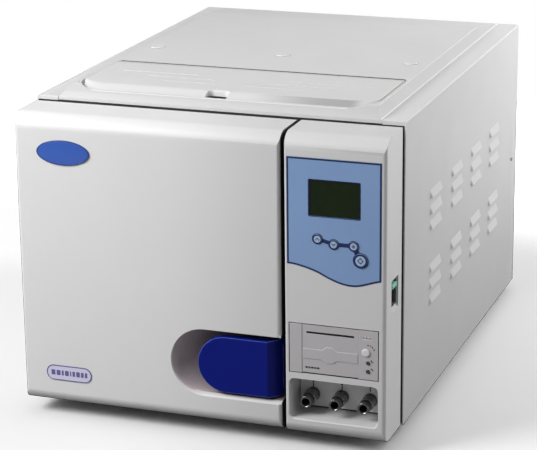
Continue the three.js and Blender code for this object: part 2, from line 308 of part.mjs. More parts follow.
// ---------------------------------------------------------------- control column
const MEM = [[112, 214.2], [119, 213.7], [126.9, 212.4], [137.5, 209.9], [148.7, 206.2], [158.8, 201.4], [169.2, 197.2], [180, 194.2], [190.8, 193.2], [200, 194.5], [208.7, 197.2], [217, 200], [225, 202.1], [225, 342], [112, 342]];
{
  const [outer, skin] = shell(COL_X0, COL_X1, COL_Z0, COL_Z1);
  const tubeOut = prismY(roundRect(111.2, 223.8, 20.2, 74.3, 7, 3), FRONT + 1, -20);
  const tubeIn = prismY(roundRect(113.5, 221.4, 22.5, 72, 6, 3), FRONT - 5, -10);
  const bossTop = [];
  let s = skin.add(tubeOut.intersect(outer)).subtract(tubeIn);
  const memSeat = MEM.map(([x, z]) => [x + (x > 170 ? 0.4 : -0.4), z + (z > 300 ? 0.4 : -0.4)]);
  const holes = [prismY(memSeat, FRONT - 5, FRONT + 0.9), box(138.2, 199.9, FRONT - 5, -50, 273.6, 317), box(112.9, 222.7, FRONT - 5, -50, 80.1, 142.5), box(226, 240, -47.8, -19.2, 161.2, 195.8)];
  for (const [x, z, r] of Object.values(KEYS)) holes.push(cyl('y', x, z, r + 0.45, -80, -60, 16));
  s = cut(s, holes);
  // seam between the left-hand edge of the pocket and the shell stays solid
  add('control_housing', s, WHITE, 0.42);
  let m = prismY(MEM, FRONT - 0.25, FRONT + 0.6);
  const mh = [box(138.4, 199.7, -80, -60, 273.8, 316.8)];
  for (const [x, z, r] of Object.values(KEYS)) mh.push(cyl('y', x, z, r + 0.45, -80, -60, 16));
  add('membrane_panel', cut(m, mh), 0x7394c4, 0.35);
  add('lcd_display', union([box(138.8, 199.3, FRONT + 0.2, -62, 274.2, 316.4), box(128, 210, -66.8, -56, 262, 329)]), 0x24301c, 0.15);
  for (const [n, [x, z, r]] of Object.entries(KEYS)) add(n, union([cyl('y', x, z, r, FRONT - 1.1, -64.6, 16), cyl('y', x, z, r - 1, FRONT - 1.5, FRONT - 1, 16)]), 0x9fb6d8, 0.35);
  add('control_board', union([box(118, 220, -52, -50.4, 205, 340), box(130, 150, -50.6, -38, 215, 240), box(160, 200, -50.6, -42, 225, 250), box(140, 190, -50.6, -44, 290, 320)]), 0x1f5a36, 0.5);
}
{
  // printer: tray-shaped frame with side strips, hinged flap, knob and two keys
  let f = box(113.4, 222.2, FRONT + 0.1, -36, 80.6, 142);
  f = cut(f, [box(128.9, 197.9, -80, -66, 70, 150), box(133, 194, -70, -38, 84.5, 138.5)]);
  f = cut(f, [cyl('x', -69, 83, 1.5, 127.3, 199.5, 10), cyl('y', 207.2, 114.4, 3.1, -80, -55, 14), cyl('y', 209.7, 101.8, 2.6, -80, -60, 12), cyl('y', 209.7, 91.3, 2.6, -80, -60, 12)]);
  add('printer_frame', f, WHITE, 0.45);
  let d = prismX([[-68.6, 81.6], [-67.4, 82.2], [-67.4, 141.4], [FRONT + 0.1, 141.4], [FRONT + 0.1, 82.4], [-70.2, 81.6]], 129.3, 197.5);
  d = d.subtract(box(135, 192, -80, -60, 130.8, 132.5)).add(cyl('x', -69, 83, 1.2, 127.6, 199.2, 10));
  add('printer_flap', d, WHITE, 0.45);
  add('printer_knob', union([cyl('y', 207.2, 114.4, 5.4, FRONT - 1.4, FRONT - 0.2, 16), cyl('y', 207.2, 114.4, 2.8, FRONT - 0.3, -58, 12), cyl('y', 207.2, 114.4, 4.2, FRONT - 1.65, FRONT - 1.3, 16)]), 0xd8d5d0, 0.35);
  add('printer_feed_key', cyl('y', 209.7, 101.8, 2.3, FRONT - 1, -63, 14), 0x4a4a4c, 0.5);
  add('printer_power_key', cyl('y', 209.7, 91.3, 2.3, FRONT - 1, -63, 14), 0x4a4a4c, 0.5);
}
{
  let p = prismY(roundRect(113.9, 221, 22.9, 71.6, 5.6, 3), -30, -28);
  for (const x of FIT_X) p = p.subtract(cyl('y', x, FIT_Z, 6, -40, -20, 16));
  add('fittings_plate', p, 0xb9b8ba, 0.5);
  FIT_X.forEach((x, i) => add(`coupling_${['left', 'centre', 'right'][i]}`, latheY(x, FIT_Z, [[3.8, -61], [5.8, -61], [7.5, -59.8], [7.5, -55.5], [6.8, -54.5], [6.8, -48], [8.2, -47], [8.2, -36.4], [8.8, -35.4], [8.8, -30.4], [5.6, -30.4], [5.6, -16], [3.8, -16]], 14), 0x8a8d92, 0.2, 1));
}
{
  let b = box(204, 227.1, -47.4, -19.6, 161.6, 195.4).subtract(box(207, 240, -45.9, -21.1, 163.1, 193.9));
  add('power_switch_body', b, DARK, 0.5);
  const px = 219, pz = 178.5;
  const roc = [[px - 4, pz - 11], [px + 3.5, pz - 12.5], [px + 5.6, pz - 1], [px + 12.6, pz + 7.5], [px + 12, pz + 12], [px - 2, pz + 12]];
  add('power_rocker', prismY(roc, -45, -28), 0x57c9a0, 0.3);
}

export default root;
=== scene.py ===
# Looks for the benchtop autoclave: most shown pieces are built here around the imported frame, the rest are imported
# parts with new finishes.
import bpy, bmesh, math, json
from mathutils import Vector, Matrix


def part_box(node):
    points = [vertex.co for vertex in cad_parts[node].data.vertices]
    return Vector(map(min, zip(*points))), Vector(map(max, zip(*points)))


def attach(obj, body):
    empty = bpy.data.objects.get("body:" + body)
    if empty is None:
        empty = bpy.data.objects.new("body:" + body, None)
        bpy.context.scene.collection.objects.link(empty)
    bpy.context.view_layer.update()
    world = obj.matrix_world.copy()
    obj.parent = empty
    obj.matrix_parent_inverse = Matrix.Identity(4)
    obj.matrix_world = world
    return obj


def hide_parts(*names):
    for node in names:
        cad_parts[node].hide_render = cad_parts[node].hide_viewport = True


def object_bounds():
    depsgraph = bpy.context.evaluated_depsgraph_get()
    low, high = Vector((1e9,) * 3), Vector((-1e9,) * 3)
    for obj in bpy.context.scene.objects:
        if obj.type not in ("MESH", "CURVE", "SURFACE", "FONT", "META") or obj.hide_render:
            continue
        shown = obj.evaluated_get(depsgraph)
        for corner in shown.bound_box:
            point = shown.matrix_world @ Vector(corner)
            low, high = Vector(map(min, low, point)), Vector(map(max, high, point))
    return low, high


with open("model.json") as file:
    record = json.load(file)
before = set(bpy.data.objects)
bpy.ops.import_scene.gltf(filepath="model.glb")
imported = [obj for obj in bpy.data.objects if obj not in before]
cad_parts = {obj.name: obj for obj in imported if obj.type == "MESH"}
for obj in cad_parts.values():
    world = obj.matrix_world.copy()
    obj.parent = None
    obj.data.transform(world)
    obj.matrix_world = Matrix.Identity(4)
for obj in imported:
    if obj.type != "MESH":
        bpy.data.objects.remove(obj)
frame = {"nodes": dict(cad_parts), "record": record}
CAD_LO, CAD_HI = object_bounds()
NODES = frame["nodes"]
BODY_OF = {n: b for b, ns in frame["record"]["behaviour"]["bodies"].items() for n in ns}

# The working coordinates are the casing's own millimetres: x from the middle plane, y from the casing's
# front plane, z from its bottom edge. YF and ZB place them in the row frame.
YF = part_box("right_side_panel")[0].y
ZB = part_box("base_tray")[0].z - 0.0005
def V(x, y, z): return Vector((x / 1000, YF + y / 1000, ZB + z / 1000))

W, D, H, SEAM = 465.0, 578.0, 373.6, 204.0
CROWN, LIDC = 12.0, 13.0
FRONT, BACK, WALL = -71.0, -6.0, 3.0
TOP_R, LOW_R, SIDE_R = 19.0, 16.0, 5.0
DOOR = (-230.5, 103.0, 3.5, 368.0)
COL = (108.7, 230.5, 2.0, 368.5)
CHX, CHZ, CHR = -64.0, 160.0, 123.5
HGX, HGY = -221.0, -15.0
LVX, LVY = 94.0, -42.0
LIDY, LIDZ = 149.5, H + 7.4
FITX, FITZ = (129.8, 165.5, 200.7), 39.7
KEYS = {"key_up": (148.9, 246.9, 5.6), "key_down": (168.4, 242.0, 5.6), "key_select": (192.3, 241.9, 5.6), "key_start": (200.6, 225.4, 8.4)}

# ------------------------------------------------------------------ mesh tools
def raw(verts, faces, name="tmp"):
    me = bpy.data.meshes.new(name)
    me.from_pydata([V(*v) for v in verts], [], faces)
    me.validate()
    bm = bmesh.new(); bm.from_mesh(me)
    bmesh.ops.remove_doubles(bm, verts=bm.verts, dist=1e-7)
    bmesh.ops.recalc_face_normals(bm, faces=bm.faces)
    bm.to_mesh(me); bm.free()
    o = bpy.data.objects.new(name, me)
    bpy.context.scene.collection.objects.link(o)
    return o

def arc(cx, cy, r, a0, a1, n):
    return [(cx + r * math.cos(math.radians(a0 + (a1 - a0) * i / n)), cy + r * math.sin(math.radians(a0 + (a1 - a0) * i / n))) for i in range(n + 1)]

def rrect(x0, x1, y0, y1, r, n=8):
    return arc(x1 - r, y0 + r, r, -90, 0, n) + arc(x1 - r, y1 - r, r, 0, 90, n) + arc(x0 + r, y1 - r, r, 90, 180, n) + arc(x0 + r, y0 + r, r, 180, 270, n)

def ellipse(cx, cy, rx, ry, n=64):
    return [(cx + rx * math.cos(2 * math.pi * i / n), cy + ry * math.sin(2 * math.pi * i / n)) for i in range(n)]

AX = {"x": lambda a, b, t: (t, a, b), "y": lambda a, b, t: (a, t, b), "z": lambda a, b, t: (a, b, t)}
def prism(axis, pts, t0, t1):
    f, n = AX[axis], len(pts)
    v = [f(a, b, t0) for a, b in pts] + [f(a, b, t1) for a, b in pts]
    faces = [list(range(n)), list(range(n, 2 * n))] + [[i, (i + 1) % n, (i + 1) % n + n, i + n] for i in range(n)]
    return raw(v, faces)

def box(x0, x1, y0, y1, z0, z1): return prism("z", [(x0, y0), (x1, y0), (x1, y1), (x0, y1)], z0, z1)
def cyl(axis, a, b, r, t0, t1, n=48): return prism(axis, [(a + r * math.cos(2 * math.pi * i / n), b + r * math.sin(2 * math.pi * i / n)) for i in range(n)], t0, t1)

def loft(rings, cap=True):
    n = len(rings[0])
    v = [p for r in rings for p in r]
    faces = []
    for i in range(len(rings) - 1):
        for j in range(n):
            a, b = i * n + j, i * n + (j + 1) % n
            faces.append([a, b, b + n, a + n])
    if cap:
        faces.append(list(range(n))); faces.append([(len(rings) - 1) * n + j for j in range(n)])
    return raw(v, faces)

def lathe(axis, a, b, profile, n=64):
    """profile: closed list of (radius, t); turns about the line through (a, b) along axis."""
    f = AX[axis]; m = len(profile); v = []; faces = []
    for i in range(n):
        c, s = math.cos(2 * math.pi * i / n), math.sin(2 * math.pi * i / n)
        for r, t in profile: v.append(f(a + r * c, b + r * s, t))
    for i in range(n):
        k = (i + 1) % n
        for j in range(m):
            l = (j + 1) % m
            if profile[j][0] < 1e-9 and profile[l][0] < 1e-9: continue
            q = [i * m + j, k * m + j, k * m + l, i * m + l]
            if profile[j][0] < 1e-9: q = [i * m + j, k * m + l, i * m + l]
            elif profile[l][0] < 1e-9: q = [i * m + j, k * m + j, i * m + l]
            faces.append(q)
    return raw(v, faces)

def drop(o):
    me = o.data; bpy.data.objects.remove(o, do_unlink=True)
    if me.users == 0: bpy.data.meshes.remove(me)

def boolean(a, others, op):
    if not isinstance(others, (list, tuple)): others = [others]
    for b in others:
        m = a.modifiers.new("b", "BOOLEAN"); m.object = b; m.operation = op; m.solver = "EXACT"
        m.use_self = False
        dg = bpy.context.evaluated_depsgraph_get()
        me = bpy.data.meshes.new_from_object(a.evaluated_get(dg))
        a.modifiers.clear(); old = a.data; a.data = me; bpy.data.meshes.remove(old); drop(b)
    return a
def cut(a, *b): return boolean(a, list(b), "DIFFERENCE")
def add(a, *b): return boolean(a, list(b), "UNION")
def meet(a, b): return boolean(a, [b], "INTERSECT")

def clean(o, dist=2e-6):
    bm = bmesh.new(); bm.from_mesh(o.data)
    bmesh.ops.remove_doubles(bm, verts=bm.verts, dist=dist)
    bmesh.ops.dissolve_degenerate(bm, edges=bm.edges, dist=dist)
    bmesh.ops.dissolve_limit(bm, angle_limit=math.radians(0.4), verts=bm.verts, edges=bm.edges)
    bmesh.ops.recalc_face_normals(bm, faces=bm.faces)
    bm.to_mesh(o.data); bm.free()

def shade(o, angle=32):
    me = o.data
    for p in me.polygons: p.use_smooth = True
    bm = bmesh.new(); bm.from_mesh(me)
    for e in bm.edges:
        e.smooth = not (len(e.link_faces) != 2 or e.calc_face_angle(0) > math.radians(angle))
    bm.to_mesh(me); bm.free()

def bevel(o, width, segments=2, angle=40, profile=0.6):
    m = o.modifiers.new("edge", "BEVEL"); m.width = width / 1000; m.segments = segments
    m.limit_method = "ANGLE"; m.angle_limit = math.radians(angle); m.use_clamp_overlap = True; m.profile = profile
    m.miter_outer = "MITER_ARC"
    return m

def weighted(o):
    m = o.modifiers.new("normals", "WEIGHTED_NORMAL"); m.keep_sharp = True; m.weight = 60
    return m

def piece(o, name, material, body=None, nodes=(), width=0.0, segments=2, angle=40, smooth=32):
    """Names a finished mesh, gives it its edge rounding, shading and material, and rides it on its body."""
    o.name = name; o.data.name = name
    clean(o); shade(o, smooth)
    if width: bevel(o, width, segments, angle)
    weighted(o)
    o.data.materials.clear(); o.data.materials.append(material)
    nodes = [nodes] if isinstance(nodes, str) else list(nodes)
    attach(o, body or BODY_OF[nodes[0]])
    if nodes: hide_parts(*nodes)
    return o

def tint(o, material, test):
    """Gives the faces whose middle passes the test (casing mm) a second material."""
    o.data.materials.append(material); k = len(o.data.materials) - 1
    for p in o.data.polygons:
        c = p.center
        if test(c.x * 1000, (c.y - YF) * 1000, (c.z - ZB) * 1000): p.material_index = k
    return o

# ------------------------------------------------------------------ materials
def node(nt, kind, **k):
    n = nt.nodes.new(kind)
    for a, b in k.items(): setattr(n, a, b)
    return n

def material(name, color, rough, metal=0.0, grain=900.0, bump=0.1, bump_mm=0.15, tone=0.03, tone_scale=9.0,
             rough_var=0.06, coat=0.0, edge_wear_and_highlight=0.0, edge_wear_and_highlight_color=None, brushed=None, spec=0.5, subsurface=0.0, occlusion_shade=0.0, occlusion_shade_color=None, occlusion_shade_reach=0.006, transmission=0.0, ior=1.45, fibre=False):
    """Procedural finish: slow tone drift, fine grain in bump, roughness variation, lighter rounded edges (partly worn
    edges, partly painted highlight) and painted shade darkening the hollows by ambient occlusion.
    """
    m = bpy.data.materials.new(name); m.use_nodes = True
    nt = m.node_tree; nt.nodes.clear(); L = nt.links.new
    out = node(nt, "ShaderNodeOutputMaterial"); b = node(nt, "ShaderNodeBsdfPrincipled"); L(b.outputs[0], out.inputs[0])
    b.inputs["Metallic"].default_value = metal
    b.inputs["Specular IOR Level"].default_value = spec
    b.inputs["IOR"].default_value = ior
    b.inputs["Coat Weight"].default_value = coat
    b.inputs["Coat Roughness"].default_value = 0.12
    b.inputs["Subsurface Weight"].default_value = subsurface
    b.inputs["Subsurface Scale"].default_value = 0.004
    b.inputs["Transmission Weight"].default_value = transmission
    tc = node(nt, "ShaderNodeTexCoord"); co = tc.outputs["Object"]
    if brushed:
        mp = node(nt, "ShaderNodeMapping"); mp.inputs["Scale"].default_value = brushed; L(co, mp.inputs["Vector"]); gco = mp.outputs[0]
    else: gco = co
    # slow drift of tone and a finer mottling
    n1 = node(nt, "ShaderNodeTexNoise"); n1.inputs["Scale"].default_value = tone_scale; n1.inputs["Detail"].default_value = 3; L(co, n1.inputs["Vector"])
    n2 = node(nt, "ShaderNodeTexNoise"); n2.inputs["Scale"].default_value = grain * 0.35; n2.inputs["Detail"].default_value = 2; L(gco, n2.inputs["Vector"])
    mixn = node(nt, "ShaderNodeMix", data_type="FLOAT"); mixn.inputs[0].default_value = 0.35
    L(n1.outputs[0], mixn.inputs[2]); L(n2.outputs[0], mixn.inputs[3])
    r = node(nt, "ShaderNodeValToRGB"); L(mixn.outputs[0], r.inputs[0])
    lo = [max(0, c * (1 - tone)) for c in color]; hi = [min(1, c * (1 + tone)) for c in color]
    r.color_ramp.elements[0].position = 0.32; r.color_ramp.elements[0].color = (*lo, 1)
    r.color_ramp.elements[1].position = 0.68; r.color_ramp.elements[1].color = (*hi, 1)
    colour = r.outputs[0]
    # fine grain
    g = node(nt, "ShaderNodeTexNoise"); g.inputs["Scale"].default_value = grain; g.inputs["Detail"].default_value = 4; g.inputs["Roughness"].default_value = 0.6; L(gco, g.inputs["Vector"])
    height = g.outputs[0]
    if fibre:
        w = node(nt, "ShaderNodeTexVoronoi", feature="F1"); w.inputs["Scale"].default_value = grain * 0.5; L(gco, w.inputs["Vector"])
        mx = node(nt, "ShaderNodeMix", data_type="FLOAT"); mx.inputs[0].default_value = 0.5; L(g.outputs[0], mx.inputs[2]); L(w.outputs[0], mx.inputs[3]); height = mx.outputs[0]
    bp = node(nt, "ShaderNodeBump"); bp.inputs["Strength"].default_value = bump; bp.inputs["Distance"].default_value = bump_mm / 1000
    L(height, bp.inputs["Height"]); L(bp.outputs[0], b.inputs["Normal"])
    # roughness: slow smears over the grain
    n3 = node(nt, "ShaderNodeTexNoise"); n3.inputs["Scale"].default_value = 22; n3.inputs["Detail"].default_value = 5; n3.inputs["Roughness"].default_value = 0.55; L(gco if brushed else co, n3.inputs["Vector"])
    mr = node(nt, "ShaderNodeMapRange"); mr.inputs["From Min"].default_value = 0.25; mr.inputs["From Max"].default_value = 0.75
    mr.inputs["To Min"].default_value = max(0.02, rough - rough_var); mr.inputs["To Max"].default_value = min(1, rough + rough_var); L(n3.outputs[0], mr.inputs["Value"])
    rough_out = mr.outputs[0]
    # Rounded edges found by the Bevel node are lightened and smoothed: partly worn edges, partly painted highlight
    # along the edges.
    if edge_wear_and_highlight:
        bv = node(nt, "ShaderNodeBevel"); bv.samples = 4; bv.inputs["Radius"].default_value = 0.0011
        ge = node(nt, "ShaderNodeNewGeometry")
        dt = node(nt, "ShaderNodeVectorMath", operation="DOT_PRODUCT"); L(bv.outputs[0], dt.inputs[0]); L(ge.outputs["Normal"], dt.inputs[1])
        mm = node(nt, "ShaderNodeMapRange"); mm.inputs["From Min"].default_value = 0.995; mm.inputs["From Max"].default_value = 0.86; mm.inputs["To Min"].default_value = 0; mm.inputs["To Max"].default_value = 1; L(dt.outputs["Value"], mm.inputs["Value"])
        nz = node(nt, "ShaderNodeTexNoise"); nz.inputs["Scale"].default_value = 60; nz.inputs["Detail"].default_value = 4; L(co, nz.inputs["Vector"])
        mu = node(nt, "ShaderNodeMath", operation="MULTIPLY"); L(mm.outputs[0], mu.inputs[0]); L(nz.outputs[0], mu.inputs[1])
        m2 = node(nt, "ShaderNodeMath", operation="MULTIPLY"); L(mu.outputs[0], m2.inputs[0]); m2.inputs[1].default_value = edge_wear_and_highlight * 1.6; m2.use_clamp = True
        wc = edge_wear_and_highlight_color or [min(1, c * 1.25 + 0.04) for c in color]
        mix = node(nt, "ShaderNodeMix", data_type="RGBA"); L(m2.outputs[0], mix.inputs[0]); L(colour, mix.inputs[6]); mix.inputs[7].default_value = (*wc, 1); colour = mix.outputs[2]
        ms = node(nt, "ShaderNodeMath", operation="MULTIPLY_ADD"); L(m2.outputs[0], ms.inputs[0]); ms.inputs[1].default_value = -0.12; L(rough_out, ms.inputs[2]); rough_out = ms.outputs[0]
    # Ambient occlusion darkens hollows, gaps and creases with a darker colour: painted shade.
    if occlusion_shade:
        ao = node(nt, "ShaderNodeAmbientOcclusion"); ao.samples = 4; ao.inputs["Distance"].default_value = occlusion_shade_reach; ao.only_local = occlusion_shade_reach < 0.01
        md = node(nt, "ShaderNodeMapRange"); md.inputs["From Min"].default_value = 0.95; md.inputs["From Max"].default_value = 0.35; md.inputs["To Min"].default_value = 0; md.inputs["To Max"].default_value = occlusion_shade; L(ao.outputs["AO"], md.inputs["Value"])
        mix = node(nt, "ShaderNodeMix", data_type="RGBA"); L(md.outputs[0], mix.inputs[0]); L(colour, mix.inputs[6]); mix.inputs[7].default_value = (*(occlusion_shade_color or [c * 0.55 for c in color]), 1); colour = mix.outputs[2]
    L(colour, b.inputs["Base Color"]); L(rough_out, b.inputs["Roughness"])
    m.diffuse_color = (*color, 1)
    return m

# Finishes. The edge term lightens rounded edges: partly worn edges, partly painted highlight. The occlusion term
# darkens hollows, gaps and creases: painted shade.
M = {
    "moulding": material("moulding_plastic", (0.69, 0.685, 0.685), 0.42, grain=1500, bump=0.16, bump_mm=0.12, tone=0.018, edge_wear_and_highlight=0.7, edge_wear_and_highlight_color=(0.9, 0.9, 0.9), occlusion_shade=0.3, occlusion_shade_color=(0.32, 0.31, 0.31)),
    # Painted light: a lighter copy of the moulding for the column's right side.
    "column_side": material("column_side", (0.77, 0.765, 0.77), 0.42, grain=1500, bump=0.16, bump_mm=0.12, tone=0.018, occlusion_shade=0.3, occlusion_shade_color=(0.32, 0.31, 0.31)),
    # Painted shade: near-black by ambient occlusion in narrow gaps.
    "gap_side": material("moulding_side", (0.69, 0.685, 0.685), 0.42, grain=1500, bump=0.16, bump_mm=0.12, tone=0.018, occlusion_shade=0.97, occlusion_shade_color=(0.008, 0.008, 0.008), occlusion_shade_reach=0.03),
    # Painted shade: the handle recess, darkened by ambient occlusion, with a mauve tint standing in for reflected
    # colour.
    "recess": material("recess_shaded_plastic", (0.76, 0.665, 0.70), 0.5, grain=1500, bump=0.16, bump_mm=0.12, tone=0.025, occlusion_shade=1.0, occlusion_shade_color=(0.05, 0.03, 0.04), occlusion_shade_reach=0.05),
    # Painted shade: a slightly darker copy of the moulding for the hose pocket, darkened by ambient occlusion.
    "pocket": material("pocket_shaded_plastic", (0.66, 0.65, 0.655), 0.45, grain=1500, bump=0.16, bump_mm=0.12, tone=0.02, occlusion_shade=0.3, occlusion_shade_color=(0.10, 0.095, 0.097), occlusion_shade_reach=0.012),
    # Painted highlight: strong, near-white edge lightening gives the casing paint its bright edge lines.
    "paint": material("casing_paint", (0.66, 0.655, 0.66), 0.46, grain=1100, bump=0.22, bump_mm=0.12, tone=0.02, edge_wear_and_highlight=1.0, edge_wear_and_highlight_color=(0.88, 0.88, 0.89), occlusion_shade=0.25, occlusion_shade_color=(0.30, 0.295, 0.30)),
    # Painted shade: near-black paint so that the gap round the door reads as shade.
    "frame_gap_shade_paint": material("frame_gap_shade_paint", (0.028, 0.027, 0.028), 0.5, grain=1100, bump=0.2, bump_mm=0.12, tone=0.12, edge_wear_and_highlight=0.3, edge_wear_and_highlight_color=(0.1, 0.1, 0.1)),
    # Painted highlight: strong, near-white edge lightening gives the top moulding its bright edge lines.
    "top": material("top_moulding", (0.63, 0.625, 0.625), 0.46, grain=1400, bump=0.18, bump_mm=0.12, tone=0.02, edge_wear_and_highlight=1.2, edge_wear_and_highlight_color=(0.9, 0.9, 0.9), occlusion_shade=0.3, occlusion_shade_color=(0.30, 0.295, 0.29)),
    # Painted shade: darker copies of the top moulding for the crown's side and front slopes.
    "top_side": material("top_moulding_side", (0.485, 0.48, 0.48), 0.48, grain=1400, bump=0.18, bump_mm=0.12, tone=0.02),
    "top_front_shaded": material("top_moulding_front_shaded", (0.53, 0.525, 0.525), 0.48, grain=1400, bump=0.18, bump_mm=0.12, tone=0.02),
    # Painted shade: the lid's front slope, darkened along x further down.
    "lid_slope_shaded": material("lid_slope_shaded", (0.63, 0.625, 0.625), 0.46, grain=1400, bump=0.18, bump_mm=0.12, tone=0.02),
    # Painted highlight: a lighter finish for the crown edges and the seam feet.
    "edge_highlight": material("painted_edge_highlight", (0.69, 0.685, 0.69), 0.4, grain=1400, bump=0.12, bump_mm=0.12, tone=0.03),
    # Painted shade: a darker copy of the top moulding for the lid ribs and the lid's rear strip.
    "rib_shaded": material("top_moulding_rib_shaded", (0.59, 0.585, 0.585), 0.46, grain=1400, bump=0.18, bump_mm=0.12, tone=0.02, occlusion_shade=0.5, occlusion_shade_color=(0.25, 0.245, 0.24)),
    # Painted highlight: strong, bright blue edge lightening along the lever's rim.
    "blue": material("lever_blue", (0.0025, 0.0085, 0.17), 0.3, grain=1800, bump=0.05, bump_mm=0.08, tone=0.06, coat=0.0, spec=0.2, edge_wear_and_highlight=1.7, edge_wear_and_highlight_color=(0.24, 0.32, 0.85), rough_var=0.05),
    "badge": material("badge_blue", (0.035, 0.10, 0.42), 0.2, grain=2000, bump=0.03, tone=0.05, coat=0.6),
    "badge_rim": material("badge_rim", (0.02, 0.05, 0.22), 0.25, grain=2000, bump=0.03, tone=0.05, coat=0.5),
    "label": material("label_film", (0.60, 0.59, 0.74), 0.4, grain=2500, bump=0.05, tone=0.02),
    "label_ink": material("label_ink", (0.13, 0.11, 0.30), 0.45, grain=2500, bump=0.05, tone=0.05),
    "film": material("membrane_film", (0.205, 0.318, 0.54), 0.36, grain=2600, bump=0.10, bump_mm=0.06, tone=0.035, tone_scale=14, rough_var=0.05),
    "navy": material("navy_ink", (0.009, 0.024, 0.105), 0.38, grain=2600, bump=0.08, bump_mm=0.06, tone=0.06),
    "key": material("key_film", (0.34, 0.44, 0.60), 0.34, grain=2600, bump=0.08, bump_mm=0.06, tone=0.03, edge_wear_and_highlight=0.3, edge_wear_and_highlight_color=(0.5, 0.6, 0.78)),
    "lcd": material("lcd_glass", (0.009, 0.017, 0.006), 0.16, grain=600, bump=0.01, tone=0.15, tone_scale=30, coat=0.0, spec=0.25, rough_var=0.03),
    "lcd_frame": material("lcd_frame", (0.006, 0.007, 0.006), 0.3, grain=1200, bump=0.04, tone=0.1),
    "black": material("black_plastic", (0.014, 0.014, 0.016), 0.45, grain=1500, bump=0.12, tone=0.1, edge_wear_and_highlight=0.4, edge_wear_and_highlight_color=(0.09, 0.09, 0.09)),
    "key_dark": material("key_dark", (0.055, 0.053, 0.052), 0.5, grain=1500, bump=0.1, tone=0.1, edge_wear_and_highlight=0.4),
    "green": material("rocker_green", (0.22, 0.66, 0.46), 0.2, grain=1500, bump=0.03, tone=0.05, coat=0.4, subsurface=0.15),
    "rubber": material("rubber", (0.022, 0.022, 0.023), 0.78, grain=1300, bump=0.3, tone=0.15, edge_wear_and_highlight=0.3),
    "gasket": material("gasket_silicone", (0.50, 0.18, 0.09), 0.5, grain=900, bump=0.1, tone=0.05, subsurface=0.1),
    "steel": material("brushed_stainless", (0.60, 0.60, 0.61), 0.27, 1.0, grain=500, bump=0.12, bump_mm=0.05, tone=0.04, brushed=(1, 14, 1), edge_wear_and_highlight=0.3, edge_wear_and_highlight_color=(0.8, 0.8, 0.8)),
    "zinc": material("zinc_sheet", (0.46, 0.47, 0.485), 0.38, 0.9, grain=260, bump=0.08, tone=0.12, tone_scale=60, edge_wear_and_highlight=0.3, edge_wear_and_highlight_color=(0.7, 0.7, 0.7)),
    "chrome": material("chrome", (0.20, 0.195, 0.198), 0.24, 1.0, grain=700, bump=0.02, bump_mm=0.05, tone=0.05, rough_var=0.04, edge_wear_and_highlight=0.3, edge_wear_and_highlight_color=(0.85, 0.85, 0.85)),
    "dark_chrome": material("dark_nickel", (0.055, 0.052, 0.053), 0.22, 1.0, grain=700, bump=0.06, bump_mm=0.05, tone=0.08, rough_var=0.08, edge_wear_and_highlight=0.5, edge_wear_and_highlight_color=(0.6, 0.6, 0.6)),
    "alu": material("aluminium", (0.66, 0.67, 0.68), 0.33, 1.0, grain=400, bump=0.08, brushed=(12, 1, 1), tone=0.03),
    "brass": material("brass", (0.56, 0.38, 0.13), 0.3, 1.0, grain=500, bump=0.05, tone=0.08, edge_wear_and_highlight=0.3),
    "tank": material("tank_plastic", (0.74, 0.75, 0.74), 0.4, grain=900, bump=0.08, tone=0.02, subsurface=0.15),
    "felt": material("insulation_felt", (0.50, 0.47, 0.40), 0.95, grain=320, bump=0.8, bump_mm=0.8, tone=0.15, fibre=True),
    "board": material("circuit_board", (0.02, 0.13, 0.05), 0.4, grain=300, bump=0.1, tone=0.15, coat=0.2),
    "cast": material("enamelled_casting", (0.05, 0.053, 0.06), 0.5, 0.3, grain=260, bump=0.35, bump_mm=0.3, tone=0.15, edge_wear_and_highlight=0.6, edge_wear_and_highlight_color=(0.3, 0.3, 0.3)),
    "well": material("switch_body", (0.085, 0.077, 0.072), 0.5, grain=1500, bump=0.1, tone=0.1),
    "printer": material("printer_plastic", (0.455, 0.44, 0.452), 0.46, grain=1500, bump=0.16, bump_mm=0.12, tone=0.02, edge_wear_and_highlight=0.8, edge_wear_and_highlight_color=(0.72, 0.71, 0.72), occlusion_shade=0.35, occlusion_shade_color=(0.16, 0.15, 0.155)),
    "pale": material("pale_label", (0.62, 0.61, 0.62), 0.5, grain=1500, bump=0.05, tone=0.04),
    # Painted shade: black for pieces and bores where only shade is seen.
    "shade_black": material("painted_shade_black", (0.008, 0.008, 0.009), 0.5, grain=1500, bump=0.05, tone=0.1),
    # Painted shade: the pocket plate darkens by ambient occlusion in its corners and round the couplings.
    "plate": material("pocket_plate", (0.74, 0.73, 0.735), 0.5, grain=1300, bump=0.15, tone=0.03, occlusion_shade=0.4, occlusion_shade_color=(0.03, 0.028, 0.028), occlusion_shade_reach=0.008),
    # Dark ink for print marks, and painted shade for the dark bar along the pocket plate's foot.
    "ink_and_gap_shade": material("dark_ink_and_gap_shade", (0.03, 0.028, 0.028), 0.6, grain=1500, bump=0.05, tone=0.1),
    "print_grey": material("print_grey", (0.22, 0.20, 0.20), 0.5, grain=1500, bump=0.05, tone=0.1),
}

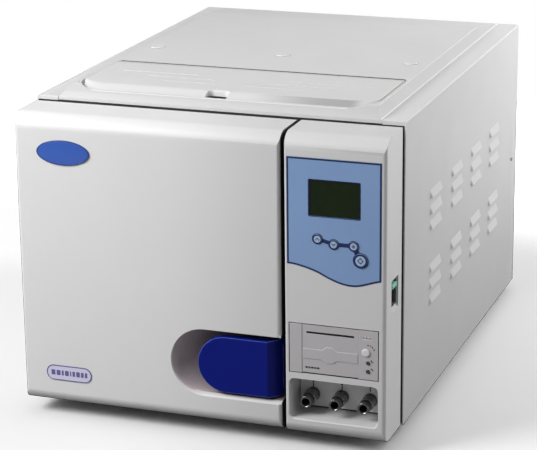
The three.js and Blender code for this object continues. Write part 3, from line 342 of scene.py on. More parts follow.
def shade_along_x(m, x0, x1, color, end=None):
    """Paints shade into a finish gradually between two places along x, in metres; end gives the stretch where it comes
    back.
    """
    nt = m.node_tree; b = next(n for n in nt.nodes if n.type == "BSDF_PRINCIPLED"); src = b.inputs["Base Color"].links[0].from_socket
    tc = node(nt, "ShaderNodeTexCoord"); sp = node(nt, "ShaderNodeSeparateXYZ"); mr = node(nt, "ShaderNodeMapRange"); mr.interpolation_type = "SMOOTHSTEP"
    mr.inputs["From Min"].default_value = x0; mr.inputs["From Max"].default_value = x1
    mix = node(nt, "ShaderNodeMix", data_type="RGBA"); mix.inputs[7].default_value = (*color, 1)
    nt.links.new(tc.outputs["Object"], sp.inputs[0]); nt.links.new(sp.outputs["X"], mr.inputs["Value"]); amount = mr.outputs[0]
    if end:
        m2 = node(nt, "ShaderNodeMapRange"); m2.interpolation_type = "SMOOTHSTEP"; m2.inputs["From Min"].default_value = end[0]; m2.inputs["From Max"].default_value = end[1]
        m2.inputs["To Min"].default_value = 1; m2.inputs["To Max"].default_value = 0; nt.links.new(sp.outputs["X"], m2.inputs["Value"])
        mu = node(nt, "ShaderNodeMath", operation="MULTIPLY"); nt.links.new(amount, mu.inputs[0]); nt.links.new(m2.outputs[0], mu.inputs[1]); amount = mu.outputs[0]
    nt.links.new(amount, mix.inputs[0]); nt.links.new(src, mix.inputs[6]); nt.links.new(mix.outputs[2], b.inputs["Base Color"])
# Painted shade: the lid's front slope darkens towards the right and comes back at the corner.
shade_along_x(M["lid_slope_shaded"], 0.02, 0.135, (0.37, 0.365, 0.365), (0.158, 0.176))
# Painted shade: the door and column fronts darken from left to right, as the light falls off.
shade_along_x(M["moulding"], -0.06, 0.115, (0.595, 0.59, 0.59))

# ------------------------------------------------------------------ casing
def fillet(pts, radii, n=6):
    """Rounds the corners of a closed polygon; radii gives one radius per point."""
    out, m = [], len(pts)
    for i, p in enumerate(pts):
        r = radii[i]
        a, b = Vector(pts[i - 1]) - Vector(p), Vector(pts[(i + 1) % m]) - Vector(p)
        if r <= 0 or a.length < 1e-6 or b.length < 1e-6: out.append(tuple(p)); continue
        ang = a.angle(b)
        if ang > math.radians(179): out.append(tuple(p)); continue
        t = min(r / math.tan(ang / 2), a.length * 0.49, b.length * 0.49)
        p0, p1 = Vector(p) + a.normalized() * t, Vector(p) + b.normalized() * t
        for k in range(n + 1):
            u = k / n
            q = (1 - u) ** 2 * p0 + 2 * u * (1 - u) * Vector(p) + u ** 2 * p1
            out.append((q.x, q.y))
    return out

def smoothstep(u):
    u = max(0.0, min(1.0, u)); return u * u * (3 - 2 * u)

LOUVRE_Y = [(110, 162), (213, 265), (313, 365), (413, 465)]
LOUVRE_Z = [262, 242, 222, 167, 147, 127]

def side_panel(sign):
    x, r, t = W / 2, 2.4, 1.5
    pts = [(x, 0.2)] + arc(x - r, H - r, r, 0, 90, 10) + [(SEAM + 0.3, H), (SEAM + 0.3, H - t)] + arc(x - r, H - r, r - t, 90, 0, 10) + [(x - t, 0.2)]
    s = prism("y", [(sign * a, b) for a, b in pts], 0, 577.5)
    hoods_v, hoods_f, slots_v, slots_f = [], [], [], []
    ns, nt = 22, 8
    for y0, y1 in LOUVRE_Y:
        for zt in LOUVRE_Z:
            base = len(hoods_v)
            for layer in (0, 1):
                for i in range(ns + 1):
                    s_ = i / ns; s_ = 0.5 - 0.5 * math.cos(math.pi * s_) * (0.6 + 0.4 * abs(math.cos(math.pi * s_)))
                    y = y0 + (y1 - y0) * s_
                    e = smoothstep((y - y0) / 3.2) * smoothstep((y1 - y) / 3.2)
                    for j in range(nt + 1):
                        u = j / nt
                        h = (0.10 * smoothstep(u * 6) + 0.90 * u) * e
                        o = x - 0.2 + 3.18 * h - (1.0 if layer else 0)
                        hoods_v.append((sign * o, y, zt + 0.4 - 10.4 * u))
            L = (ns + 1) * (nt + 1)
            g = lambda l, i, j: base + l * L + i * (nt + 1) + j
            for i in range(ns):
                for j in range(nt):
                    hoods_f.append([g(0, i, j), g(0, i + 1, j), g(0, i + 1, j + 1), g(0, i, j + 1)])
                    hoods_f.append([g(1, i, j), g(1, i, j + 1), g(1, i + 1, j + 1), g(1, i + 1, j)])
                for j in (0, nt): hoods_f.append([g(0, i, j), g(0, i + 1, j), g(1, i + 1, j), g(1, i, j)])
            for i in (0, ns):
                for j in range(nt): hoods_f.append([g(0, i, j), g(0, i, j + 1), g(1, i, j + 1), g(1, i, j)])
            b = len(slots_v)
            for X in (x - 3, x + 0.6):
                for yy, zz in ((y0 + 2.2, zt - 10.05), (y1 - 2.2, zt - 10.05), (y1 - 2.2, zt - 4.4), (y0 + 2.2, zt - 4.4)): slots_v.append((sign * X, yy, zz))
            slots_f += [[b, b + 1, b + 2, b + 3], [b + 4, b + 5, b + 6, b + 7]] + [[b + k, b + (k + 1) % 4, b + 4 + (k + 1) % 4, b + 4 + k] for k in range(4)]
    cut(s, raw(slots_v, slots_f)); add(s, raw(hoods_v, hoods_f))
    # the sheet is folded in at the front: a narrow return below the flange
    x0, x1 = sorted((sign * (SEAM + 0.5), sign * (W / 2 - 0.9)))
    add(s, box(x0, x1, 0.0, 0.62, H - 5.0, H - 0.9))
    cut(s, cyl("x", 550, 187.5, 2.2, min(sign * (x - 5), sign * (x + 5)), max(sign * (x - 5), sign * (x + 5)), 24))
    return s
for side, sign in (("right", 1), ("left", -1)):
    piece(side_panel(sign), f"{side}_panel", M["paint"], nodes=f"{side}_side_panel", width=0.25, segments=2, angle=50, smooth=28)
    # pan-head screw with a cross recess
    hd = [(0, 0.3), (3.5, 0.3), (3.6, 0.7), (3.2, 1.2), (2.2, 1.5), (0, 1.6)]
    sc = lathe("x", 550, 187.5, [(r, sign * (W / 2 + t)) for r, t in hd], 40)
    a, b = W / 2 + 0.9, W / 2 + 2.2
    lo, hi = min(sign * a, sign * b), max(sign * a, sign * b)
    cut(sc, box(lo, hi, 547.9, 552.1, 187.15, 187.85), box(lo, hi, 549.65, 550.35, 185.4, 189.6))
    sh = cyl("x", 550, 187.5, 1.8, min(sign * (W / 2 - 9), sign * (W / 2 + 0.6)), max(sign * (W / 2 - 9), sign * (W / 2 + 0.6)), 24)
    piece(add(sc, sh), f"{side}_screw", M["zinc"], nodes=f"casing_screw_{side}", width=0.08, smooth=40)

def top_cover():
    skin = 2.4
    def yz(d): return fillet([(0.4 + d * 0.8, H - 12), (0.4 + d * 0.8, H - d), (6.5 + d * 0.6, H + 5.6 - d), (21 + d * 0.4, H + CROWN - d), (488, H + CROWN - d), (577.3 - d * 0.8, H - d * 0.6), (577.3 - d * 0.8, H - 12)],
                             [0, 1.2, 9, 18, 60, 1.2, 0], 8)
    def xz(d): return fillet([(-SEAM + 0.1 + d * 0.8, H - 12), (-SEAM + 0.1 + d * 0.8, H - d * 0.6), (-SEAM + 1.5 + d * 0.6, H + 1.2 - d * 0.7), (-193.6 + d * 0.4, H + CROWN - d), (193.6 - d * 0.4, H + CROWN - d), (SEAM - 1.5 - d * 0.6, H + 1.2 - d * 0.7), (SEAM - 0.1 - d * 0.8, H - d * 0.6), (SEAM - 0.1 - d * 0.8, H - 12)],
                             [0, 0.3, 0, 2.2, 2.2, 0, 0.3, 0], 4)
    outer = meet(prism("x", yz(0), -SEAM, SEAM), prism("y", xz(0), 0, D))
    inner = meet(prism("x", yz(skin), -SEAM, SEAM), prism("y", xz(skin), 0, D))
    s = cut(outer, inner, box(-240, 240, 5, 600, H - 20, H - 2), box(-240, 240, -10, 600, H - 20, H - 4.2))
    opening = arc(157, 43.6, 33.4, -90, 0, 16) + arc(184.9, 151.9, 5.5, 0, 90, 8) + arc(-184.9, 151.9, 5.5, 90, 180, 8) + arc(-157, 43.6, 33.4, 180, 270, 16)
    s = cut(s, prism("z", opening, H - 20, H + 40))
    # a ledge lower in the groove round the lid, at the front and the sides
    ledge = meet(prism("x", yz(2.2), -SEAM + 3, SEAM - 3), prism("y", xz(2.2), 2, 140))
    cut(ledge, meet(prism("x", yz(4.4), -SEAM, SEAM), prism("y", xz(4.4), 0, 200)))
    ledge = meet(ledge, prism("z", arc(157, 43.6, 33.9, -90, 0, 16) + [(190.9, 140), (-190.9, 140)] + arc(-157, 43.6, 33.9, 180, 270, 16), H, H + 30))
    cut(ledge, prism("z", arc(155.6, 43.6, 33.15, -90, 0, 20) + [(188.75, 150), (-188.75, 150)] + arc(-155.6, 43.6, 33.15, 180, 270, 20), H - 20, H + 40))
    add(s, ledge)
    # a fine groove follows the lid at a few millimetres
    def skin_of(d): return meet(prism("x", yz(d), -SEAM, SEAM), prism("y", xz(d), 0, D))
    band = cut(skin_of(0), skin_of(0.55))
    def round_lid(g): return arc(155.6, 43.6, 32.6 + g, -35, 0, 12) + [(188.2 + g, 150), (-188.2 - g, 150)] + arc(-155.6, 43.6, 32.6 + g, 180, 215, 12)
    o = round_lid(4.6); i = round_lid(4.0)
    for sg in (1, -1):
        path = [(sg * abs(a), b) for a, b in o[:14]] + [(sg * abs(a), b) for a, b in reversed(i[:14])]
        strip_ = meet(prism("z", path, H - 5, H + 30), skin_of(0)); cut(strip_, skin_of(0.55)); cut(s, strip_)
    drop(band)
    for x in (-174, 0, 170): cut(s, cyl("z", x, 244, 4.6, H - 5, H + 30, 40))
    return s
cov = piece(top_cover(), "upper_cover", M["top"], nodes="top_cover", width=0.3, segments=2, angle=30, smooth=24)
def tilted(o, material, test):
    """As tint, by the direction the face looks in."""
    o.data.materials.append(material); k = len(o.data.materials) - 1
    for p in o.data.polygons:
        if test(p.normal, (p.center.y - YF) * 1000): p.material_index = k
# Painted shade: the crown's side slopes and front slope take darker copies of the top moulding, for how the light falls
# on them.
tilted(cov, M["top_side"], lambda n, y: abs(n.x) > 0.5 and n.z > 0.2)
tilted(cov, M["top_front_shaded"], lambda n, y: n.y < -0.25 and n.z > 0.2 and y < 30 and abs(n.x) < 0.5)
# Painted shade: the front-facing wall behind the lid's rear edge is near-black for the shade of the gap there.
tilted(cov, M["gap_side"], lambda n, y: n.y < -0.8 and 153 < y < 160)
def paint_edge_highlight(o, material):
    """Painted highlight: the rounded crown edges and the narrow foot along the seams take a lighter finish."""
    o.data.materials.append(material); k = len(o.data.materials) - 1
    for p in o.data.polygons:
        c, n = p.center, p.normal; x, z = abs(c.x * 1000), (c.z - ZB) * 1000
        if n.z < 0.3: continue
        if (0.06 < abs(n.x) < 0.72 and x > 191 and z > H + 9) or (abs(n.x) > 0.3 and x > SEAM - 1.7 and H - 0.4 < z < H + 1.25): p.material_index = k
paint_edge_highlight(cov, M["edge_highlight"])
for n, x in (("left", -174), ("centre", 0), ("right", 170)):
    pr = [(0, 7), (4, 7), (4, 12.3), (9, 12.3), (9.0, 12.7), (8.85, 13.0), (8.3, 13.35), (7.4, 13.62), (6.4, 13.72), (5.9, 13.5), (5.5, 13.42), (0, 13.5)]
    piece(lathe("z", x, 244, [(r, H + z) for r, z in pr], 56), f"plug_{n}", M["top"], nodes=f"cover_plug_{n}", smooth=30)

def lid():
    def outline(d): return arc(155.6, 43.6, 32.6 - d, -90, 0, 20) + arc(184, 151.5, max(4.2 - d, 1), 0, 90, 6) + arc(-184, 151.5, max(4.2 - d, 1), 90, 180, 6) + arc(-155.6, 43.6, 32.6 - d, 180, 270, 20)
    # the sloped front: the lip follows the outline, the crease above it cuts the corners shorter
    lip = outline(0)
    def crease():
        out = []
        for x, y in lip:
            if y > 43.6: out.append((x, y)); continue
            t = math.asin(max(-1.0, min(1.0, (43.6 - y) / 32.6)))          # 0 at the side, 90 deg at the front
            u = t / (math.pi / 2)
            cx = 188.2 - 37.0 * u ** 1.25; cy = 47.0 - 14.5 * math.sin(u * math.pi / 2) ** 0.8
            out.append((math.copysign(cx, x), max(cy, y + 0.01)))
        return out
    cr = crease()
    prof = [(0.0, 0.9), (0.0, 6.6), (0.02, 7.35), (0.065, 7.7), (0.12, 7.75), (0.17, 7.8), (0.24, 7.95), (0.36, 8.6), (0.52, 9.9), (0.68, 11.3), (0.82, 12.35), (0.92, 12.85), (1.0, 13.0)]
    rings = []
    for w, z in prof: rings.append([(lx + (qx - lx) * w, ly + (qy - ly) * w, H + z) for (lx, ly), (qx, qy) in zip(lip, cr)])
    s = loft(rings)
    low = outline(0.6)
    s = meet(s, loft([[(x, y, z) for x, y in o] for o, z in ((lip, H), (lip, H + 12.4), (outline(0.15), H + 12.8), (low, H + 13.02), (low, H + 15))]))
    whole = s.copy(); whole.data = s.data.copy(); bpy.context.scene.collection.objects.link(whole)
    s = cut(s, loft([[(x * 0.984, 88 + (y - 88) * 0.96, H - 5) for x, y in lip], [(x * 0.984, 88 + (y - 88) * 0.96, H + 2.8) for x, y in lip], [(x * 0.98, 88 + (y - 88) * 0.94, H + 10.8) for x, y in cr]]))
    # finger notch: a slanted scoop behind the lip, with a wall round it that stops short of the bottom
    def scoop(g, low):
        out = []
        for z, kx, ky in ((low, 13.2, 30.6), (H + 5, 13.4, 31.0), (H + 8, 13.7, 31.6), (H + 11, 14.1, 32.4), (H + 12.2, 14.5, 33.0), (H + 13.2, 15.2, 34.2), (H + 20, 15.2, 34.2)):
            out.append([(a - 6.8, b, z) for a, b in [(-kx - g, 14.6 - g), (kx + g, 14.6 - g)] + arc(kx + g - 8.5, ky + g - 8.5, 8.5, 0, 90, 10) + arc(-kx - g + 6.5, ky + g - 6.5, 6.5, 90, 180, 10)])
        return loft(out)
    skirt = meet(scoop(1.5, H + 6.0), whole); cut(skirt, box(-30, 30, 0, 14.7, H - 5, H + 30)); add(s, skirt)
    cut(s, scoop(0, H - 4))
    cut(s, prism("x", [(140, H + 13.15), (157, H + 11.0), (157, H + 20), (140, H + 20)], -200, 200), box(-200, 200, 154.9, 160, H + 8.5, H + 20))
    for x in (-98, 98): add(s, box(x - 2.5, x + 2.5, LIDY - 3.2, 154, H + 3.2, H + 11.2))
    for sg in (-1, 1):
        for a, b, y in ((58, 162, 102), (32, 121, 83), (12, 92, 63)):
            x0, x1 = (a, b) if sg > 0 else (-b, -a)
            rr = []
            for d, z in ((0, -1.0), (0, 0.02), (0.15, 0.3), (0.5, 0.46), (0.9, 0.5)):
                rr.append([(px, py, H + LIDC + z) for px, py in rrect(x0 + d, x1 - d, y - 1.4 + d, y + 1.4 - d, max(1.35 - d, 0.3), 6)])
            add(s, loft(rr))
    cut(s, cyl("x", LIDY, LIDZ, 1.9, -110, 110, 24))
    for x in (-107, 107): cut(s, box(x - 3, x + 3, 150.2, 158, H - 2, H + 10.8))
    return s
# Painted shade: the lid's ribs and its rear strip take a darker copy of the top moulding.
cap = tint(piece(lid(), "lid", M["top"], nodes="tank_lid", smooth=26), M["rib_shaded"], lambda x, y, z: z > H + LIDC + 0.02 or (y > 139 and z > H + 11))
# Painted shade: the lid's front slope takes the copy that darkens towards its right end.
tilted(cap, M["lid_slope_shaded"], lambda n, y: n.y < -0.12 and 0.6 < n.z < 0.995 and 12 < y < 44 and -0.12 < n.x < 0.5)

def foot(name, x, y):
    pr = [(0, -15), (13, -15), (15.6, -14.6), (16.7, -13.4), (17, -12.2), (15.6, -7), (14.5, -3), (14.5, 0.2), (0, 0.2)]
    f = lathe("z", x, y, pr, 48)
    grip = []
    return piece(f, name, M["rubber"], nodes=name.replace("pad_", "foot_"), width=0.4, smooth=30)
for nx, x in (("left", -165), ("right", 165)):
    for ny, y in (("front", 75), ("rear", 510)): foot(f"pad_{ny}_{nx}", x, y)

# ------------------------------------------------------------------ door and column skins
def side_profile(z0, z1, d, n=14):
    back = BACK + (20 if d else 0)
    return [(back, z0 + d)] + arc(FRONT + LOW_R, z0 + LOW_R, LOW_R - d, -90, -180, n) + arc(FRONT + TOP_R, z1 - TOP_R, TOP_R - d, 180, 90, n + 4) + [(back, z1 - d)]
def plan_profile(x0, x1, d, n=8):
    back = BACK + (20 if d else 0); r0 = 2.6 if x0 > 0 else SIDE_R
    return [(x0 + d, back)] + arc(x0 + max(r0, d + 0.6), FRONT + max(r0, d + 0.6), max(r0, d + 0.6) - d, 180, 270, n) + arc(x1 - SIDE_R, FRONT + SIDE_R, SIDE_R - d, 270, 360, n) + [(x1 - d, back)]
def shell(x0, x1, z0, z1):
    o = meet(prism("x", side_profile(z0, z1, 0), x0, x1), prism("z", plan_profile(x0, x1, 0), z0 - 5, z1 + 5))
    i = meet(prism("x", side_profile(z0, z1, WALL), x0 + WALL, x1 - WALL), prism("z", plan_profile(x0, x1, WALL), z0 - 5, z1 + 5))
    return o, i

def door():
    x0, x1, z0, z1 = DOOR
    s, i = shell(*DOOR)
    cut(s, i)
    def ring(xl, zc, h, y, xr, n=40):
        out = [(xl + h + h * math.cos(math.radians(90 + 180 * k / n)), y, zc + h * math.sin(math.radians(90 + 180 * k / n))) for k in range(n + 1)]
        return out + [(xr, y, zc - h), (xr, y, zc + h)]
    def interp(keys, ys):
        out = []
        for y in ys:
            for a, b in zip(keys, keys[1:]):
                if a[3] <= y <= b[3]:
                    u = (y - a[3]) / (b[3] - a[3]); out.append(tuple(p + (q - p) * u for p, q in zip(a[:3], b[:3])) + (y,)); break
        return out
    K = [(-35.6, 80, 40.4, -71), (-34.2, 80, 39.9, -66), (-32, 80, 39.2, -61), (-28.4, 80, 38.7, -55.5), (-23, 80, 37.8, -50), (-16.4, 80, 36.5, -45.5), (-8, 80, 34.5, -41), (1.0, 80, 31.6, -37.2), (12, 80, 28, -34)]
    keys = [(-36.6, 78.2, 43.0, -76), (-36.6, 78.2, 43.0, -71.2), (-36.4, 78.3, 42.7, -71.0), (-36.1, 78.7, 42.1, -70.6), (-35.9, 78.95, 41.55, -70.0), (-35.5, 79.28, 41.08, -69.0),
            (-34.95, 79.55, 40.55, -67.3), (-34.1, 79.78, 40.03, -65.0), (-32, 79.9, 39.3, -61)] + K[3:]
    scoop = loft([ring(x, z, h, y, 130) for x, z, h, y in keys])
    pan = meet(loft([ring(x, z, h, y, 130) for x, z, h, y in [(-38.8, 80, 43.6, -70), (-35.5, 80, 42.4, -61), (-26.5, 80, 41, -50), (-11.5, 80, 37.8, -40), (8, 80, 31.5, -31)]]),
               prism("x", side_profile(z0, z1, 1), x0 + 1, x1))
    add(s, pan); cut(s, scoop)
    cut(s, cyl("z", LVX, LVY, 4.4, 36, 124, 32), box(84, 99.5, -38, -25, 71, 89), box(98, 106, -29, -20, 71.3, 88.7),
        box(-240, -226, -31, 0, 63, 82), box(-240, -226, -31, 0, 284, 303))
    return s
# Painted shade: the handle recess takes the darkened, mauve-tinted copy of the moulding.
tint(piece(door(), "door_skin", M["moulding"], nodes="door_cover", width=0.35, segments=2, angle=60, smooth=26),
     M["recess"], lambda x, y, z: -36 < x < 99.5 and 38 < z < 121 and -69 < y < -33 and not (z < 41.5 and y < -64.5))
# Painted shade: the door's right wall in the gap to the column is near-black.
tint(bpy.data.objects["door_skin"], M["gap_side"], lambda x, y, z: x > 102.6 and y > -66.5)

def badge():
    cx, cz = -167.5, 323.3
    def e(rx, rz, y, n=96): return [(cx + rx * math.cos(2 * math.pi * k / n), y, cz + rz * math.sin(2 * math.pi * k / n)) for k in range(n)]
    rim = loft([e(34.2, 15.4, FRONT - 0.3), e(34.2, 15.4, FRONT - 0.9), e(34.0, 15.2, FRONT - 1.25), e(33.6, 14.8, FRONT - 1.45), e(33.0, 14.3, FRONT - 1.45), e(32.75, 14.05, FRONT - 1.15)])
    dome = [e(32.7, 14.0, FRONT - 0.3), e(32.7, 14.0, FRONT - 1.1)]
    for k in range(1, 9):
        u = k / 8.5; q = math.cos(u * math.pi / 2)
        dome.append(e(32.7 * q, 14.0 * q, FRONT - 1.1 - 0.55 * math.sin(u * math.pi / 2)))
    d = loft(dome)
    cut(rim, prism("y", ellipse(cx, cz, 32.72, 14.02, 96), FRONT - 0.2, FRONT - 2))
    return rim, d
br, bd = badge()
piece(br, "badge_rim", M["badge_rim"], nodes="door_badge", smooth=30)
piece(bd, "badge_dome", M["badge"], nodes="door_badge", smooth=40)

def plate():
    o = rrect(-201, -141, 34, 53.6, 9.7, 12); i = rrect(-199.9, -142.1, 35.1, 52.5, 8.6, 12)
    rim = loft([[(a, y, b) for a, b in (o if k < 2 else rrect(-201 + d, -141 - d, 34 + d, 53.6 - d, 9.7 - d, 12))] for k, (y, d) in enumerate(((FRONT - 0.25, 0), (FRONT - 0.6, 0), (FRONT - 0.85, 0.2), (FRONT - 0.9, 0.5)))])
    cut(rim, prism("y", i, FRONT, FRONT - 2))
    film = prism("y", rrect(-199.86, -142.14, 35.14, 52.46, 8.56, 12), FRONT - 0.25, FRONT - 0.62)
    return rim, film
pr_, pf_ = plate()
piece(pr_, "capacity_rim", M["label_ink"], nodes="capacity_plate", smooth=30)
piece(pf_, "capacity_film", M["label"], nodes="capacity_plate", smooth=30)
x = -194.6
bars = None
for w in (5.2, 5.2, 2.6, 5.0, 1.6, 3.4, 4.6, 3.4, 3.2):
    b = prism("y", rrect(x, x + w, 40.6, 47.2, 0.7, 4), FRONT - 0.63, FRONT - 0.70)
    bars = b if bars is None else add(bars, b); x += w + 1.7
piece(bars, "capacity_marks", M["label_ink"], body="door")

def handle():
    zc, r = 78.75, 35.25
    # plan outline: flat face, rolled cheek, then the arm back to the barrel
    ctrl = [(84.6, -70.8), (86.6, -70.2), (90.6, -66.6), (95.2, -61.0), (98.7, -55.2), (100.2, -50.0)]
    def catmull(P, n=6):
        o = []
        for k in range(len(P) - 1):
            p0 = Vector(P[max(0, k - 1)]); p1 = Vector(P[k]); p2 = Vector(P[k + 1]); p3 = Vector(P[min(len(P) - 1, k + 2)])
            for j in range(n):
                t = j / n
                q = 0.5 * ((2 * p1) + (-p0 + p2) * t + (2 * p0 - 5 * p1 + 4 * p2 - p3) * t * t + (-p0 + 3 * p1 - 3 * p2 + p3) * t ** 3)
                o.append((q.x, q.y))
        return o + [tuple(P[-1])]
    curve = catmull(ctrl)
    inner = catmull([(92.4, -50.5), (89.6, -56.8), (85, -60.4), (79, -61.9), (72, -62.0)], 5)
    outer_plan = [(-6, -70.8)] + curve + inner + [(-6, -62.0)]
    body = prism("z", outer_plan, zc - r, zc + r)
    face = lambda d: arc(33.25, zc, r - d, 90, 270, 48) + [(106, zc - r + d), (106, zc + r - d)]
    # the outline narrows in the last millimetres towards the front: rounded rim
    rings = []
    for y, d in ((-72, 2.4), (-70.85, 1.5), (-70.55, 0.75), (-69.95, 0.25), (-69.2, 0.0), (-50, 0.0), (-48, 0.0)):
        rings.append([(a, y, b) for a, b in face(d)])
    body = meet(body, loft(rings))
    hollow = prism("y", arc(33.25, zc, r - 5, 90, 270, 32) + [(72, zc - r + 5), (72, zc + r - 5)], -66.5, -60)
    cut(body, hollow)
    arm = [(99.8, -52.6), (100.6, -46), (100.6, -42)] + arc(LVX, LVY, 6.6, 0, 180, 20) + [(87.6, -50), (91.2, -53.2)]
    add(body, prism("z", arm, 52, 106))
    add(body, cyl("z", LVX, LVY, 4, 41, 117.5, 40), prism("z", [(92.2, -39), (96.2, -39), (96.2, -24.6), (92.2, -24.6)], 75, 85))
    return body
piece(handle(), "lever", M["blue"], nodes="door_handle", width=0.4, segments=2, angle=50, smooth=24)

def column():
    s, i = shell(*COL)
    outer = meet(prism("x", side_profile(COL[2], COL[3], 0), COL[0], COL[1]), prism("z", plan_profile(COL[0], COL[1], 0), COL[2] - 5, COL[3] + 5))
    cut(s, i)
    add(s, meet(prism("y", rrect(111.2, 223.8, 20.2, 74.3, 7, 8), FRONT + 1, -20), outer))
    rg = []
    for y, d in ((-78, 1.9), (-71.3, 1.9), (-71.0, 1.55), (-70.7, 1.05), (-70.2, 0.62), (-69.4, 0.25), (-68.3, 0.05), (-67, 0), (-40, -0.0), (-10, 0)):
        rg.append([(a, y, b) for a, b in rrect(113.5 - d * 0.55, 221.4 + d * 0.55, 22.5 - d, 72 + d * 0.6, 6 + d * 0.6, 10)])
    cut(s, loft(rg))
    seat = [(a + (0.4 if a > 170 else -0.4), b + (0.4 if b > 300 else -0.4)) for a, b in MEM]
    cut(s, prism("y", seat, FRONT - 5, FRONT + 0.9), box(138.2, 199.9, FRONT - 5, -50, 273.6, 317), box(112.9, 222.7, FRONT - 5, -50, 80.1, 142.5))
    # switch slot with a flared lower edge
    cut(s, box(226, 240, -47.8, -19.2, 161.2, 195.8), prism("y", [(227.8, 162), (227.8, 160.6), (231.5, 155.2), (231.5, 162)], -47.2, -19.8))
    for x, z, r in KEYS.values(): cut(s, cyl("y", x, z, r + 0.45, -80, -60, 40))
    return s
def spline(P, n=8):
    o = []
    for k in range(len(P) - 1):
        p0 = Vector(P[max(0, k - 1)]); p1 = Vector(P[k]); p2 = Vector(P[k + 1]); p3 = Vector(P[min(len(P) - 1, k + 2)])
        for j in range(n):
            t = j / n
            q = 0.5 * ((2 * p1) + (-p0 + p2) * t + (2 * p0 - 5 * p1 + 4 * p2 - p3) * t * t + (-p0 + 3 * p1 - 3 * p2 + p3) * t ** 3)
            o.append((q.x, q.y))
    return o + [tuple(P[-1])]
WAVE = [(112, 214.2), (119, 213.7), (126.9, 212.4), (137.5, 209.9), (148.7, 206.2), (158.8, 201.4), (169.2, 197.2), (180, 194.2), (190.8, 193.2), (200, 194.5), (208.7, 197.2), (217, 200), (225, 202.1)]
MEM = spline(WAVE, 4) + [(225, 342), (112, 342)]
# Painted shade: the hose pocket takes a slightly darker copy of the moulding, darkened further by ambient occlusion.
tint(piece(column(), "column_skin", M["moulding"], nodes="control_housing", width=0.35, segments=2, angle=60, smooth=26),
     M["pocket"], lambda x, y, z: 112.5 < x < 222.5 and 21 < z < 73.5 and -67.5 < y < -10)
# Painted shade: the column's left wall in the gap to the door is near-black.
tint(bpy.data.objects["column_skin"], M["gap_side"], lambda x, y, z: x < 109.1 and y > -67.5)
# Painted light: the column's right side takes a lighter copy of the moulding.
tint(bpy.data.objects["column_skin"], M["column_side"], lambda x, y, z: x > 230.3 and z > 20)

# ------------------------------------------------------------------ keypad
def rect_hole(): return prism("y", rrect(138.4, 199.7, 273.8, 316.8, 1.2, 6), -80, -60)
def keypad():
    s = prism("y", MEM, FRONT - 0.22, FRONT + 0.6)
    cut(s, rect_hole())
    for x, z, r in KEYS.values(): cut(s, cyl("y", x, z, r + 0.4, -80, -60, 56))
    return s
piece(keypad(), "keypad_film", M["film"], nodes="membrane_panel", smooth=30)

def offset(pts, d):
    """Draws a closed outline in by d."""
    out, n = [], len(pts)
    for k in range(n):
        a, b, c = Vector(pts[k - 1]), Vector(pts[k]), Vector(pts[(k + 1) % n])
        e1, e2 = (b - a), (c - b)
        if e1.length < 1e-9: e1 = e2
        if e2.length < 1e-9: e2 = e1
        n1, n2 = Vector((-e1.y, e1.x)).normalized(), Vector((-e2.y, e2.x)).normalized()
        m = (n1 + n2).normalized(); k_ = d / max(0.35, m.dot(n1))
        out.append((b.x + m.x * k_, b.y + m.y * k_))
    return out
PY0, PY1 = FRONT - 0.24, FRONT - 0.30     # printed layer, proud of the film
def inset(d):
    """The film's outline drawn in by d; points of the wave that would pass the side lines are left out."""
    q = [p for p in offset(MEM, d)[1:-3] if 112 + d + 0.4 < p[0] < 225 - d - 0.4]
    return [(112 + d, q[0][1] + 0.02)] + q + [(225 - d, q[-1][1] + 0.4), (225 - d, 342 - d), (112 + d, 342 - d)]
border = prism("y", inset(0.12), PY0, PY1)
cut(border, prism("y", inset(2.05), PY0 + 1, PY1 - 1))
win = prism("y", rrect(137.6, 200.5, 273.0, 317.6, 1.8, 6), PY0, PY1); cut(win, rect_hole())
ink = add(border, win)
order = ["key_up", "key_down", "key_select", "key_start"]
def strip(a, b, w, y0, y1):
    d = (Vector(b) - Vector(a)).normalized(); n = Vector((-d.y, d.x)) * w / 2
    a, b = Vector(a), Vector(b)
    return prism("y", [tuple(a + n), tuple(b + n), tuple(b - n), tuple(a - n)], y0, y1)
lines = None
for a, b, w in ((0, 1, 4.6), (1, 2, 4.8), (2, 3, 6.4)):
    p = strip(KEYS[order[a]][:2], KEYS[order[b]][:2], w, PY0, PY1); lines = p if lines is None else add(lines, p)
for x, z, r in KEYS.values(): add(lines, cyl("y", x, z, r + 1.0, PY0, PY1, 64))
for x, z, r in KEYS.values(): cut(lines, cyl("y", x, z, r + 0.4, -80, -60, 56))
piece(ink, "keypad_print_border", M["navy"], body="chassis", smooth=30)
piece(lines, "keypad_print_lines", M["navy"], body="chassis", smooth=30)

